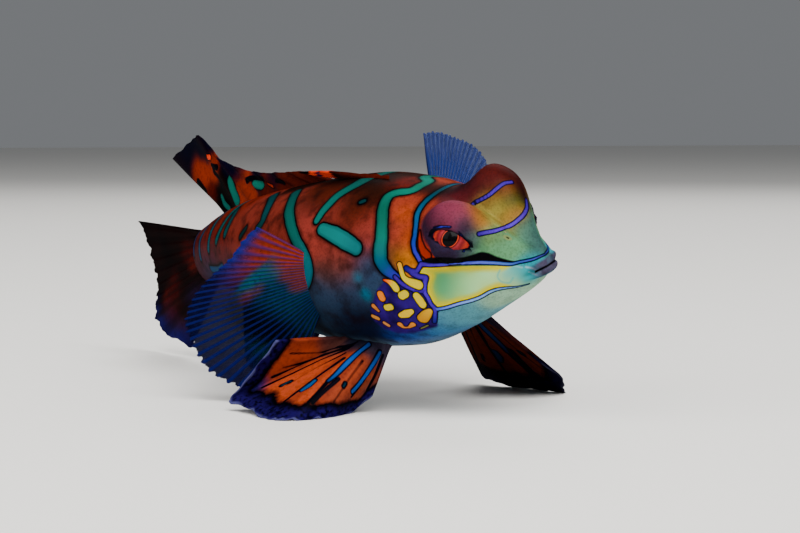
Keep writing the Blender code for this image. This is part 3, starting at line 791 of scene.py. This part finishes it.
colour = laid_over(
    tree, colour, (shaded, edge["band"], .42, .12), ("0a0a12", field["crescent"], .14, .06),
    ("983014", field["crescent"], .03, -.05), (violet, edge["patch"], .12, -.05),
    (rim, field["panel"], .03, -.03), ("08070e", field["ink"], .07, -.03))
pale = add(tree, "Mix", {0: .8, 6: colour, 7: tint["fold_colour"]}, data_type="RGBA", out=2)
colour = laid_over(
    tree, colour, (pale, field["fold"], .07, -.03), (lips, field["lip"], .2, 1.0),
    ("0c0810", field["mouth"], .12, .04), ("788458", field["nostril"], .2, .12),
    ("2c2c22", field["nostril"], .09, .04))
for name, off, *look in (("band", edge["band"], "06060b", "05100f", .4, (.17, .1), (0, .5), -.03),
                         ("line", field["line"], "0b0824", "14083c", .5, (.11, .06), (.05, .6), -.02),
                         ("spot", field["spot"], "120a1c", "703c08", .25, (.11, .06), (0, .4), -.02)):
    colour = drawn_over(tree, colour, tint[name + "_colour"], off, field[name + "_depth"], *look)
colour = laid_over(tree, colour, ("100c1c", field["lid"], 1.16, 1.04))
colour = add(tree, "Gamma", {"Color": colour, "Gamma": 1.25})
tree.links.new(colour, shader.inputs["Base Color"])
height = add(tree, "Math", {0: grain, 1: .5}, operation="MULTIPLY")
raised = add(tree, "MapRange", {"Value": field["band"], "From Min": .12, "From Max": -.1})
height = add(tree, "Math", {0: height, 1: raised}, operation="ADD")
bump = add(tree, "Bump", {"Height": height, "Strength": .35, "Distance": .00004})
tree.links.new(bump, shader.inputs["Normal"])
skin.data.materials.append(wet_skin)
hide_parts("head", "trunk", "tail_stem")
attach(skin, "root")


# Eyes. Glossy balls that turn in the bulges: a black pupil with a blunt point towards the snout,
# a red and orange iris, and dark blue round it, under a clear cornea.
PUPIL_SEEN = (449.9, 238.3)
PUPIL_LONG, PUPIL_SHORT, PUPIL_TILT, IRIS_RADIUS = 0.57, 0.45, 36.0, 1.2
CORNEA_WIDE, CORNEA_RISE, FIBRE, BEHIND_IRIS = 0.8, 0.035, 0.0002, 2
gaze_way = outward_gaze(*PUPIL_SEEN)
body_axes = np.array([d[0] for d in directions(EYE_AT)]) * ((-1,), (1,), (1,))
cornea, tree, shader = material("clear_cornea_over_iris", {
    "Roughness": .4, "IOR": 1.38, "Specular IOR Level": .03, "Coat Weight": .07, "Coat Roughness": .02})
place = add(tree, "TexCoord", out="Object")
off = {name: add(tree, "Attribute", attribute_name=name, out=2) for name in ("pupil", "ring")}
fibre = add(tree, "TexNoise", {"Vector": place, "Scale": 1 / FIBRE, "Detail": 3})
shift = add(tree, "MapRange", {"Value": fibre, "To Min": -.12, "To Max": .12})
ring = add(tree, "Math", {0: off["ring"], 1: shift}, operation="ADD")
iris = laid_over(
    tree, linear("8c242c"), ("641418", ring, .5, .72), ("942818", ring, .75, .92),
    ("5a0c14", ring, .98, 1.08), ("2a2458", ring, 1.08, 1.16), ("14141c", ring, 1.16, 1.3),
    ("3c0806", off["pupil"], 1.5, 1.2),
    ("a83018", off["pupil"], 1.19, 1.15), ("020203", off["pupil"], 1.08, 1.02))
tree.links.new(iris, shader.inputs["Base Color"])
for side, sign in (("right", 1), ("left", -1)):
    ball = bmesh.new()
    bmesh.ops.create_uvsphere(ball, u_segments=96, v_segments=64, radius=EYE_RADIUS)
    local = np.array([v.co[:] for v in ball.verts])
    in_front, off_axis = local[:, 2] > 0, np.linalg.norm(local[:, :2], axis=1)
    dome = 1 + CORNEA_RISE * np.exp(-(off_axis / CORNEA_WIDE) ** 4) * in_front
    out = side_way(gaze_way, side) * (1, sign, 1) @ body_axes
    turn = np.stack((*tilted_axes(out, body_axes[2], PUPIL_TILT * sign), out))
    for v, p in zip(ball.verts, (eye_centre[side] + local * dome[:, None] @ turn) * MM):
        v.co = p
    off_pupil = np.hypot(local[:, 0] / PUPIL_LONG, local[:, 1] / PUPIL_SHORT)
    eye = made_of("eyeball_" + side, ball)
    store(eye.data, pupil=np.where(in_front, off_pupil, FAR_OFF),
          ring=np.where(in_front, off_axis / IRIS_RADIUS, BEHIND_IRIS))
    eye.data.materials.append(cornea)
    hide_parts("eye_" + side)
    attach(eye, "root")


# Fins. Each is one thin wet membrane between soft rays, which stand out on both faces. A fin is a
# sheet from its base line on the body to its margin, pleated a little between the rays.
SINK = -0.35                                     # a fin's root reaches this far into the skin
FIN_ROOT, FIN_WEB, FIN_EDGE, FIN_RAY = 0.5, 0.2, 0.09, 0.11
FIN_GRAIN, FIN_CLOUD = 0.0003, 0.0012


def fin_sheet(base, tip, rays, pleat, notch, ragged):
    """Point of a fin's middle sheet for arrays of u along the base and t out to the margin."""
    def ray_of(u):
        return np.clip(u, 0, 1) * (rays - 1)

    def flat(u, t):
        u = np.clip(u, 0, 1)
        between = np.sin(np.pi * ray_of(u)) ** 2
        # Two waves out of step with the rays wear the margin unevenly
        wear = ragged * (np.sin(ray_of(u) * 9.7 + 1.3) + .6 * np.sin(ray_of(u) * 23.1 + .4))
        root, end = base(u), tip(u)
        return root + (end - root) * (t * (1 + (wear - notch * between) * ease(t) * t))[:, None]

    def point(u, t):
        u, t = np.asarray(u, float), np.asarray(t, float)
        spread = flat(u + .004, t) - flat(u - .004, t)
        out = flat(u, np.minimum(t + .01, 1)) - flat(u, np.maximum(t - .01, 0))
        normal = unit(np.cross(spread, out))
        push = pleat * np.sin(np.pi * ray_of(u)) ** 2 * ramp(t, .05, .3)
        return flat(u, t) + normal * push[:, None], normal
    return point


def make_fin(name, web, base, tip, rays, per_ray, rows, look, pleat, notch, ragged=.006, relief=1.0):
    """Build a fin; look(u, t, middle) gives the fields for its material."""
    sheet_point = fin_sheet(base, tip, rays, pleat, notch, ragged)
    slab = bmesh.new()
    bmesh.ops.create_grid(slab, x_segments=(rays - 1) * per_ray, y_segments=rows, size=.5)
    bmesh.ops.triangulate(slab, faces=slab.faces)
    made = bmesh.ops.extrude_face_region(slab, geom=slab.faces[:], use_keep_orig=True)
    for v in made["geom"]:
        if isinstance(v, bmesh.types.BMVert):
            v.co.z = 1
    grid = np.array([v.co[:] for v in slab.verts])
    u, t, face = grid[:, 0] + .5, grid[:, 1] + .5, grid[:, 2] * 2 - 1
    middle, normal = sheet_point(u, t)
    on_ray = np.cos(np.pi * u * (rays - 1)) ** 2
    thick = FIN_ROOT + (FIN_WEB - FIN_ROOT) * ease(ramp(t, 0, .22))
    thick += (FIN_EDGE - FIN_WEB) * ease(ramp(t, .6, .4)) + 2 * FIN_RAY * relief * on_ray ** 2 * (1 - .75 * t)
    places = middle + normal * (face * thick / 2)[:, None]
    places[:, 2] = np.maximum(places[:, 2], 0)
    for v, p in zip(slab.verts, places * MM):
        v.co = p
    bmesh.ops.triangulate(slab, faces=slab.faces)
    bmesh.ops.recalc_face_normals(slab, faces=slab.faces)
    piece = made_of(name, slab)
    store(piece.data, on_ray=on_ray, out=t, **look(u, t, middle))
    piece.data.materials.append(web)
    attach(piece, "root")
    return piece


def seen_on(base, tip):
    """Finder of the place on a fin's flat sheet that is seen at a pixel."""
    net = bmesh.new()
    bmesh.ops.create_grid(net, x_segments=60, y_segments=30, size=.5)
    u, t = np.array([v.co[:2] for v in net.verts]).T + .5
    for v, p in zip(net.verts, base(u) + (tip(u) - base(u)) * t[:, None]):
        v.co = p
    tree = BVHTree.FromBMesh(net)
    net.free()

    def found(x, y):
        hit = tree.ray_cast(Vector(standpoint), pixel_ray(x, y))[0]
        return None if hit is None else np.array(hit)
    return found


def fin_fields(found, zones, strokes):
    """A look for a fin from the zones and strokes read on the photograph."""
    touches = stroke_samples(strokes, found)

    def look(u, t, middle):
        names = ("ground", "mark", "depth", "mark_colour")
        return dict(zip(names, (washed(middle, (zones, found)), *nearest_touch(middle, touches))))
    return look


def unmarked(ground):
    """Fields of a fin that has no strokes on its ground colour."""
    nothing = np.zeros(len(ground))
    return {"ground": ground, "mark": nothing + FAR_OFF, "depth": nothing, "mark_colour": ground}


def plain_fields(zones, wide, long):
    """A look for a fin from zones given by place along the base and out to the margin."""
    def look(u, t, middle):
        flat = np.stack((u * wide, t * long, np.zeros_like(u)), -1)
        return unmarked(washed(flat, (zones, lambda a, b: np.array((a * wide, b * long, 0)))))
    return look


def membrane(name, see_through, ray_dark, ray_shade="0b0a18", border=None, fringe=None):
    """Wet fin membrane: thin, so it lets some light and shadow through, and darker along the rays.
    It may have a border, behind a dark line, and a pale fringe."""
    web, tree, shader = material(name, {
        "Roughness": .6, "IOR": 1.34, "Specular IOR Level": 0, "Coat Weight": .02, "Coat Roughness": .2,
        "Coat IOR": 1.3})
    place = add(tree, "TexCoord", out="Object")
    field = {kind: add(tree, "Attribute", attribute_name=kind, out=2)
             for kind in ("mark", "depth", "on_ray", "out")}
    tint = {kind: add(tree, "Attribute", attribute_name=kind) for kind in ("mark_colour", "ground")}
    grain, cloud = (add(tree, "TexNoise", {"Vector": place, "Scale": 1 / size, "Detail": detail})
                    for size, detail in ((FIN_GRAIN, 4), (FIN_CLOUD, 3)))
    dark = add(tree, "Mix", {0: .35, 6: tint["ground"], 7: linear("0a0814")}, data_type="RGBA", out=2)
    colour = laid_over(tree, tint["ground"], (dark, grain, .45, .8), (dark, cloud, .56, .8))
    ray = add(tree, "Mix", {0: ray_dark, 6: colour, 7: linear(ray_shade)}, data_type="RGBA", out=2)
    colour = laid_over(tree, colour, (ray, field["on_ray"], .35, .95))
    colour = drawn_over(tree, colour, tint["mark_colour"], field["mark"], field["depth"], "0a0a14", "050812",
                        .35, (.13, .07), (0, .5), -.02)
    shift = add(tree, "MapRange", {"Value": cloud, "To Min": -.06, "To Max": .06})
    far_out = add(tree, "Math", {0: field["out"], 1: shift}, operation="ADD")
    if border:
        edging = laid_over(tree, linear(border), ("0c0a20", grain, .45, .62))
        colour = laid_over(tree, colour, ("08060e", far_out, .76, .82), (edging, far_out, .83, .9))
    if fringe:
        colour = laid_over(tree, colour, (fringe, far_out, .975, .995))
    colour = add(tree, "Gamma", {"Color": colour, "Gamma": 1.25})
    tree.links.new(colour, shader.inputs["Base Color"])
    bump = add(tree, "Bump", {"Height": grain, "Strength": .3, "Distance": .00003})
    tree.links.new(bump, shader.inputs["Normal"])
    if see_through:
        off_ray = add(tree, "MapRange", {"Value": field["on_ray"], "From Min": .9, "From Max": .5})
        thin = add(tree, "MapRange", {"Value": field["out"], "From Min": .1, "From Max": .55,
                                      "To Max": see_through})
        clear = add(tree, "Math", {0: off_ray, 1: thin}, operation="MULTIPLY")
        left_over = add(tree, "Math", {0: 1.0, 1: clear}, operation="SUBTRACT")
        tree.links.new(left_over, shader.inputs["Alpha"])
    return web


def base_at(s, height):
    s = np.atleast_1d(s)
    return posed(np.stack((s, np.zeros_like(s), height), -1))


def root_line(start, end, edge, rise):
    """Base line of a fin along the top or the bottom of the body."""
    def base(u):
        s = start + (end - start) * u
        return base_at(s, edge(s) + rise)
    return base


# Tail fin. Ten branched rays, dark brown with dull red blots, and a violet-blue fringe below.
CAUDAL_LOW, CAUDAL_HIGH, CAUDAL_SINK = -1.0, 3.5, 0.9
caudal_back = curve(((0, 57.5), (.08, 62), (.2, 64.2), (.6, 61.7), (.85, 61.8), (1, 62.7)))
caudal_height = curve(((0, -5.8), (.22, -2.4), (.5, .2), (.8, 3.4), (1, 6.6)))


def caudal_base(u):
    return base_at(np.full_like(u, STEM_END - CAUDAL_SINK), CAUDAL_LOW + (CAUDAL_HIGH - CAUDAL_LOW) * u)


def caudal_tip(u):
    return base_at(caudal_back(u), caudal_height(u))


CAUDAL_ZONES = (
    ("1e0e0e", 2.2, ((.15, .5), (.5, .5), (.85, .5), (.9, .9), (.6, .85))),
    ("0c070a", 1.6, ((1, .95), (.75, .7), (.35, .9))),
    ("4a1614", 1.2, ((.45, .65), (.7, .35), (.3, .6), (.2, .75))), ("5c201a", .9, ((.35, .8), (.55, .3))),
    ("2a1d44", 1.4, ((.05, .4), (.1, .8))), ("241c60", 1.2, ((0, .9), (.12, 1), (.25, 1))),
)
caudal = make_fin("caudal_membrane", membrane("dark_tail_membrane", 0, .4, "0a0508"), caudal_base, caudal_tip,
                  10, 14, 70, plain_fields(CAUDAL_ZONES, 11, 15), pleat=.14, notch=.05, ragged=.01)
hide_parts("caudal_fin")

# First back fin. Four thin spines folded down on the back, tips laid to the right.
FOLD_START, FOLD_TIP, FOLD_LONG, FOLD_ASIDE, FOLD_HIGH, FOLD_HIGHER = 14.2, 20.4, 4.6, 1.0, 0.72, 0.3
fold_base = root_line(FOLD_START, FOLD_START + FOLD_LONG, top, -.1)


def fold_tip(u):
    s = FOLD_TIP + FOLD_LONG * u
    return posed(np.stack((s, np.full_like(s, -FOLD_ASIDE), top(s) + FOLD_HIGH + FOLD_HIGHER * u), -1))


# Colours by distance behind the snout tip
FOLD_COLOURS = (
    (14.2, "5c1e10"), (19.4, "4a180c"), (20.5, "140806"), (20.9, "d04014"), (22.1, "d84814"),
    (22.4, "0c1840"), (22.8, "0c1840"), (23.1, "e04c10"), (23.7, "e04c10"), (24, "060608"), (25.2, "060608"),
)


def fold_look(u, t, middle):
    """Red-brown where it lies on the back, then orange, dark blue, orange and black to the tips."""
    s = FOLD_START + FOLD_LONG * u + (FOLD_TIP - FOLD_START) * t
    return unmarked(graded(s, *zip(*FOLD_COLOURS)))


back_web = membrane("orange_back_membrane", 0, .25, "2a0c08")
folded = make_fin("first_back_membrane", back_web, fold_base, fold_tip, 4, 10, 30, fold_look,
                  pleat=.1, notch=.12)
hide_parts("dorsal_fin_first")

# Second back fin. Eight rays laid back, orange with teal blocks in black and a navy margin.
BACK_FIN_START, BACK_FIN_END = 21.2, 40.5
ray_lift = curve(((0, 5), (.4, 16), (.7, 31), (.86, 45), (1, 27)))
ray_reach = curve(((0, 4), (.35, 4), (.7, 6.7), (.86, 8.7), (1, 12)))
back_base = root_line(BACK_FIN_START, BACK_FIN_END, top, -.25)


def back_tip(u):
    s = BACK_FIN_START + (BACK_FIN_END - BACK_FIN_START) * u
    lift, reach = np.radians(ray_lift(u))[:, None], ray_reach(u)[:, None]
    forward, left, up = directions(s)
    return base_at(s, top(s) + .3) - forward * reach * np.cos(lift) + up * reach * np.sin(lift)


seen_back = seen_on(back_base, back_tip)
BACK_ZONES = (
    # A navy-black end, orange and black with red-brown under it, and a navy margin
    ("0a0a20", 1.1, ((178, 150), (186, 142), (196, 138), (203, 146), (190, 152), (184, 160), (180, 152))),
    ("8c3418", .75, ((197, 168), (206, 172), (214, 170))),
    ("0e0707", 1.0, ((196, 183), (203, 188), (209, 196), (220, 203), (224, 190))),
    ("58190e", .5, ((205, 190), (216, 198), (212, 188))),
    ("8a3620", .7, ((244, 178), (250, 185), (246, 193))),
    ("100c26", .7, ((225, 165), (240, 170), (256, 174), (272, 178))),
    ("521e14", .9, ((270, 187), (285, 187), (298, 184))),
)
BACK_MARKS = (
    (.42, ("0a6c5e", "0a645a"), ((230, 180), (233, 188), (237, 196), (240, 201))),
    (.34, ("0a6c5e",), ((256, 184), (262, 185))), (.2, ("0c504a",), ((213, 203), (214, 207))),
    (.26, ("dc4818",), ((209, 157), (211, 157))), (.2, ("0a0a14",), ((213, 166), (218, 167))),
    (.16, ("a83c18",), ((268, 184), (274, 186))), (.16, ("0c0a10",), ((246, 182), (252, 178), (264, 179))),
    (.3, ("0c0808",), ((200, 182), (206, 190), (212, 198))),
    (.22, ("100a0c",), ((214, 172), (220, 178), (222, 186))),
    (.24, ("0a5850", "0a6058"), ((222, 196), (226, 203), (232, 208))),
    (.14, ("0c0a10",), ((276, 180), (284, 183))),
)
back_fin = make_fin("second_back_membrane", back_web, back_base, back_tip, 8, 16, 60,
                    fin_fields(seen_back, BACK_ZONES, BACK_MARKS), pleat=.16, notch=.06, ragged=.012)
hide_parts("dorsal_fin_second")

# Anal fin. Eight rays down to the floor, deep blue with paler streaks.
ANAL_START, ANAL_END, ANAL_SWEEP = 27.0, 40.5, 4.6
anal_clearance = curve(((0, 1.7), (.3, -.1), (.8, -.1), (1, 1.3)))
anal_base = root_line(ANAL_START, ANAL_END, bottom, .3)


def anal_tip(u):
    s = ANAL_START + (ANAL_END - ANAL_START) * u + ANAL_SWEEP
    point = base_at(s, np.full_like(s, -9.0))
    point[:, 2] = anal_clearance(u)
    return point


def deep_blue(u, t, middle):
    """Indigo that is teal near the body, with a bright blue rim."""
    ground = graded(t, np.linspace(0, 1, 4), ("1c4a6c", "1c2050", "141438", "2438a0"))
    streak = np.abs(np.sin(u * 7 * np.pi)) * .5 + .06 + np.abs(t - .5) * .4
    return {"ground": ground, "mark": streak, "depth": np.clip(.2 - streak, 0, 1),
            "mark_colour": np.tile(rgb("2a78c8"), (len(u), 1))}


anal = make_fin("anal_membrane", membrane("indigo_membrane", .12, .5), anal_base, anal_tip, 8, 16, 50,
                deep_blue, pleat=.16, notch=.06, ragged=.012)
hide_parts("anal_fin")

# Pectoral fins. Round fans of fine rays behind the gill covers, blue-violet and see-through
# between the rays; the right one is laid back, the left one lifted and held out.
PECTORAL_AT = 18.0
RIGHT_RISE = ((0, 38), (.15, 9), (.35, -2), (.55, -10), (.75, -24), (.9, -40), (1, -57))
LEFT_RISE = ((0, 88), (.15, 66), (.5, 30), (1, -25))
RIGHT_REACH = ((0, 3.9), (.12, 5.7), (.25, 8.1), (.4, 10.3), (.55, 11.3), (.7, 11.2), (.85, 9.6), (1, 6.2))
LEFT_REACH = ((0, 5.4), (.25, 6.6), (.55, 8.6), (.75, 8.6), (1, 6))
# Near fin: red and fleshy along its short upper rays, teal at its root, then navy. Far fin: pale blue.
NEAR_FAN_ZONES = (
    ("84341e", 1.0, ((.02, .3), (.05, .7), (.12, .3), (.14, .75))),
    ("6c3420", .5, ((.25, .12), (.36, .1), (.48, .1), (.3, .2))),
    ("126064", .6, ((.24, .42), (.32, .5), (.28, .35))), ("7c3428", .4, ((.4, .42), (.44, .5))),
    ("2c2c78", .7, ((.12, .95), (.2, .8))), ("0e3c44", 1.0, ((.32, .4), (.45, .35), (.55, .3), (.65, .2))),
    ("0c3038", .9, ((.8, .15), (.95, .3), (.9, .6))), ("080a16", 1.0, ((.55, .5), (.7, .4), (.85, .4))),
    ("141638", 1.2, ((.25, .8), (.35, .9), (.5, .9), (.7, .8), (.9, .9))),
)
FAR_FAN_ZONES = (
    ("3c4c84", 2.0, ((0, .4), (.3, .5), (.6, .5), (1, .5))), ("4c5884", 1.5, ((.1, .9), (.5, .9), (.9, .9))),
)
# Each fan's side, the angles of its root's upper and lower end, its sign and how far it stands out
for side, high, low, sign, out, rises, reaches in (
        ("right", 160.0, 198.0, -1, 24.0, RIGHT_RISE, RIGHT_REACH),
        ("left", 20.0, -18.0, 1, 70.0, LEFT_RISE, LEFT_REACH)):
    rise, length = curve(rises), curve(reaches)

    def fan_base(u, high=high, low=low):
        return posed(straight_skin(np.full_like(u, PECTORAL_AT), high + (low - high) * u, SINK))

    def fan_tip(u, high=high, low=low, sign=sign, out=out, rise=rise, length=length):
        forward, left, up = directions(np.full_like(u, PECTORAL_AT))
        e, o = np.radians(rise(u))[:, None], math.radians(out)
        level = -forward * math.cos(o) + left * sign * math.sin(o)
        root = posed(straight_skin(np.full_like(u, PECTORAL_AT), high + (low - high) * u, .3))
        return root + (level * np.cos(e) + up * np.sin(e)) * length(u)[:, None]

    near = side == "right"
    name = "pectoral_membrane_" + side
    web = membrane(name, .1 if near else .3, .55, "20246c" if near else "242c60")
    fan = make_fin(name, web, fan_base, fan_tip, 28, 8, 60,
                   plain_fields(NEAR_FAN_ZONES if near else FAR_FAN_ZONES, 8, 9),
                   pleat=.05, notch=.02, ragged=.008, relief=.4)
    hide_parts("pectoral_fin_" + side)

# Pelvic fins. A short spine and five branched rays each, spread out sideways onto the floor: orange
# webs with blue streaks, a broad indigo border and a pale ragged margin. A margin is given by the
# share of its way back from the spine, the distance behind the snout tip and left of it, and height.
PELVIC_MARGIN_RIGHT = (
    (0, 13.4, -6.2, 1.3), (.1, 14.3, -7.3, .1), (.22, 13.0, -10.0, -.1), (.4, 12.6, -12.6, -.1),
    (.6, 14.0, -14.3, -.1), (.8, 20.2, -14.2, .8), (1, 16.9, -12.2, 5.3),
)
PELVIC_MARGIN_LEFT = (
    (0, 12.9, 8.6, 2.8), (.2, 14.0, 11.2, 1.6), (.4, 16.4, 13.2, -.1), (.6, 20.2, 12.6, -.1),
    (.8, 24.0, 10.8, .8), (1, 21.5, 9.6, 4.8),
)
PELVIC_START, PELVIC_BASE = 14.0, 3.4
FAR_PAINTED_SHADE = 0.25                                 # the far fin takes the near one's colours at a quarter, dark brown where the near one is orange: painted shadow
PELVIC_ZONES = (
    ("a04828", 1.2, ((290, 350), (285, 370), (310, 365), (330, 375), (275, 392), (300, 400), (345, 370))),
    ("8c4630", 1.0, ((355, 385), (340, 395), (365, 375))),
    ("5c3c38", .8, ((330, 346), (372, 393), (380, 375))),
    ("4c4454", .9, ((386, 352), (390, 362), (383, 390), (376, 400))),
    ("2a2c3c", .8, ((375, 345), (360, 344))),
    ("24287c", .8, ((252, 382), (260, 355), (248, 390), (264, 345))),
)
PELVIC_MARKS = (
    ((.16, .2, .14), ("144c90", "145ca8", "144c8c"), ((379, 353), (372, 363), (363, 376), (357, 384),
     (351, 391))),
    ((.16, .19, .12), ("14488c", "1458a0", "124880"), ((369, 347), (359, 354), (350, 362), (343, 369),
     (335, 377), (328, 383))),
    ((.08, .06), ("3c2c80", "30205c"), ((328, 383), (318, 394), (308, 404))),
    ((.2, .24, .16), ("145080", "164c7c"), ((315, 383), (309, 388), (303, 392))),
    (.15, ("145068",), ((292, 383.5), (282, 388))), (.12, ("145c74",), ((344, 384), (342, 387))),
    (.05, ("1c0c20",), ((358, 345), (330, 355), (302, 365), (272, 376))),
    (.05, ("1c0c20",), ((350, 350), (320, 363), (290, 377), (263, 389))),
    (.05, ("1c0c20",), ((345, 360), (322, 376), (300, 392), (285, 403))),
    (.05, ("1c0c20",), ((338, 380), (322, 394), (312, 404))),
    (.03, ("28142c",), ((352, 347), (322, 351), (290, 352))),
    (.03, ("28142c",), ((354, 348), (318, 358), (282, 366))),
    (.03, ("28142c",), ((372, 362), (362, 380), (350, 396))),
    (.03, ("28142c",), ((362, 362), (346, 382), (332, 402))),
    (.03, ("28142c",), ((346, 355), (316, 371), (284, 390))),
    (.03, ("28142c",), ((384, 356), (376, 376), (368, 390))),
)
for side, low, margin in (("right", 225.0, PELVIC_MARGIN_RIGHT), ("left", -45.0, PELVIC_MARGIN_LEFT)):
    lines = [curve([(place[0], place[axis]) for place in margin]) for axis in (1, 2, 3)]

    def pelvic_base(u, low=low):
        return posed(straight_skin(PELVIC_START + PELVIC_BASE * u, np.full_like(u, low), SINK))

    def pelvic_tip(u, lines=lines):
        return np.stack((NOSE[0] - lines[0](u), NOSE[1] + lines[1](u), lines[2](u)), -1)

    if side == "right":
        pelvic_paint = fin_fields(seen_on(pelvic_base, pelvic_tip), PELVIC_ZONES, PELVIC_MARKS)
        pelvic_fields = {}

        def look(u, t, middle):
            pelvic_fields.update(pelvic_paint(u, t, middle))
            return pelvic_fields
    else:
        # The far fin's look is the near fin's, with its colours darkened: painted shadow, since the far fin
        # lies in shade
        def look(u, t, middle):
            return {kind: values * (FAR_PAINTED_SHADE if values.ndim == 2 else 1)
                    for kind, values in pelvic_fields.items()}
    name = "pelvic_membrane_" + side
    # The far fin's border and fringe are darker too: painted shadow
    border, fringe = ("221450", "505078") if side == "right" else ("100c28", "2c2c3c")
    pelvic = make_fin(name, membrane(name, 0, .3, "1c0c20", border, fringe), pelvic_base, pelvic_tip,
                      6, 26, 70, look, pleat=.12, notch=.02, ragged=.01)
    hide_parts("pelvic_fin_" + side)
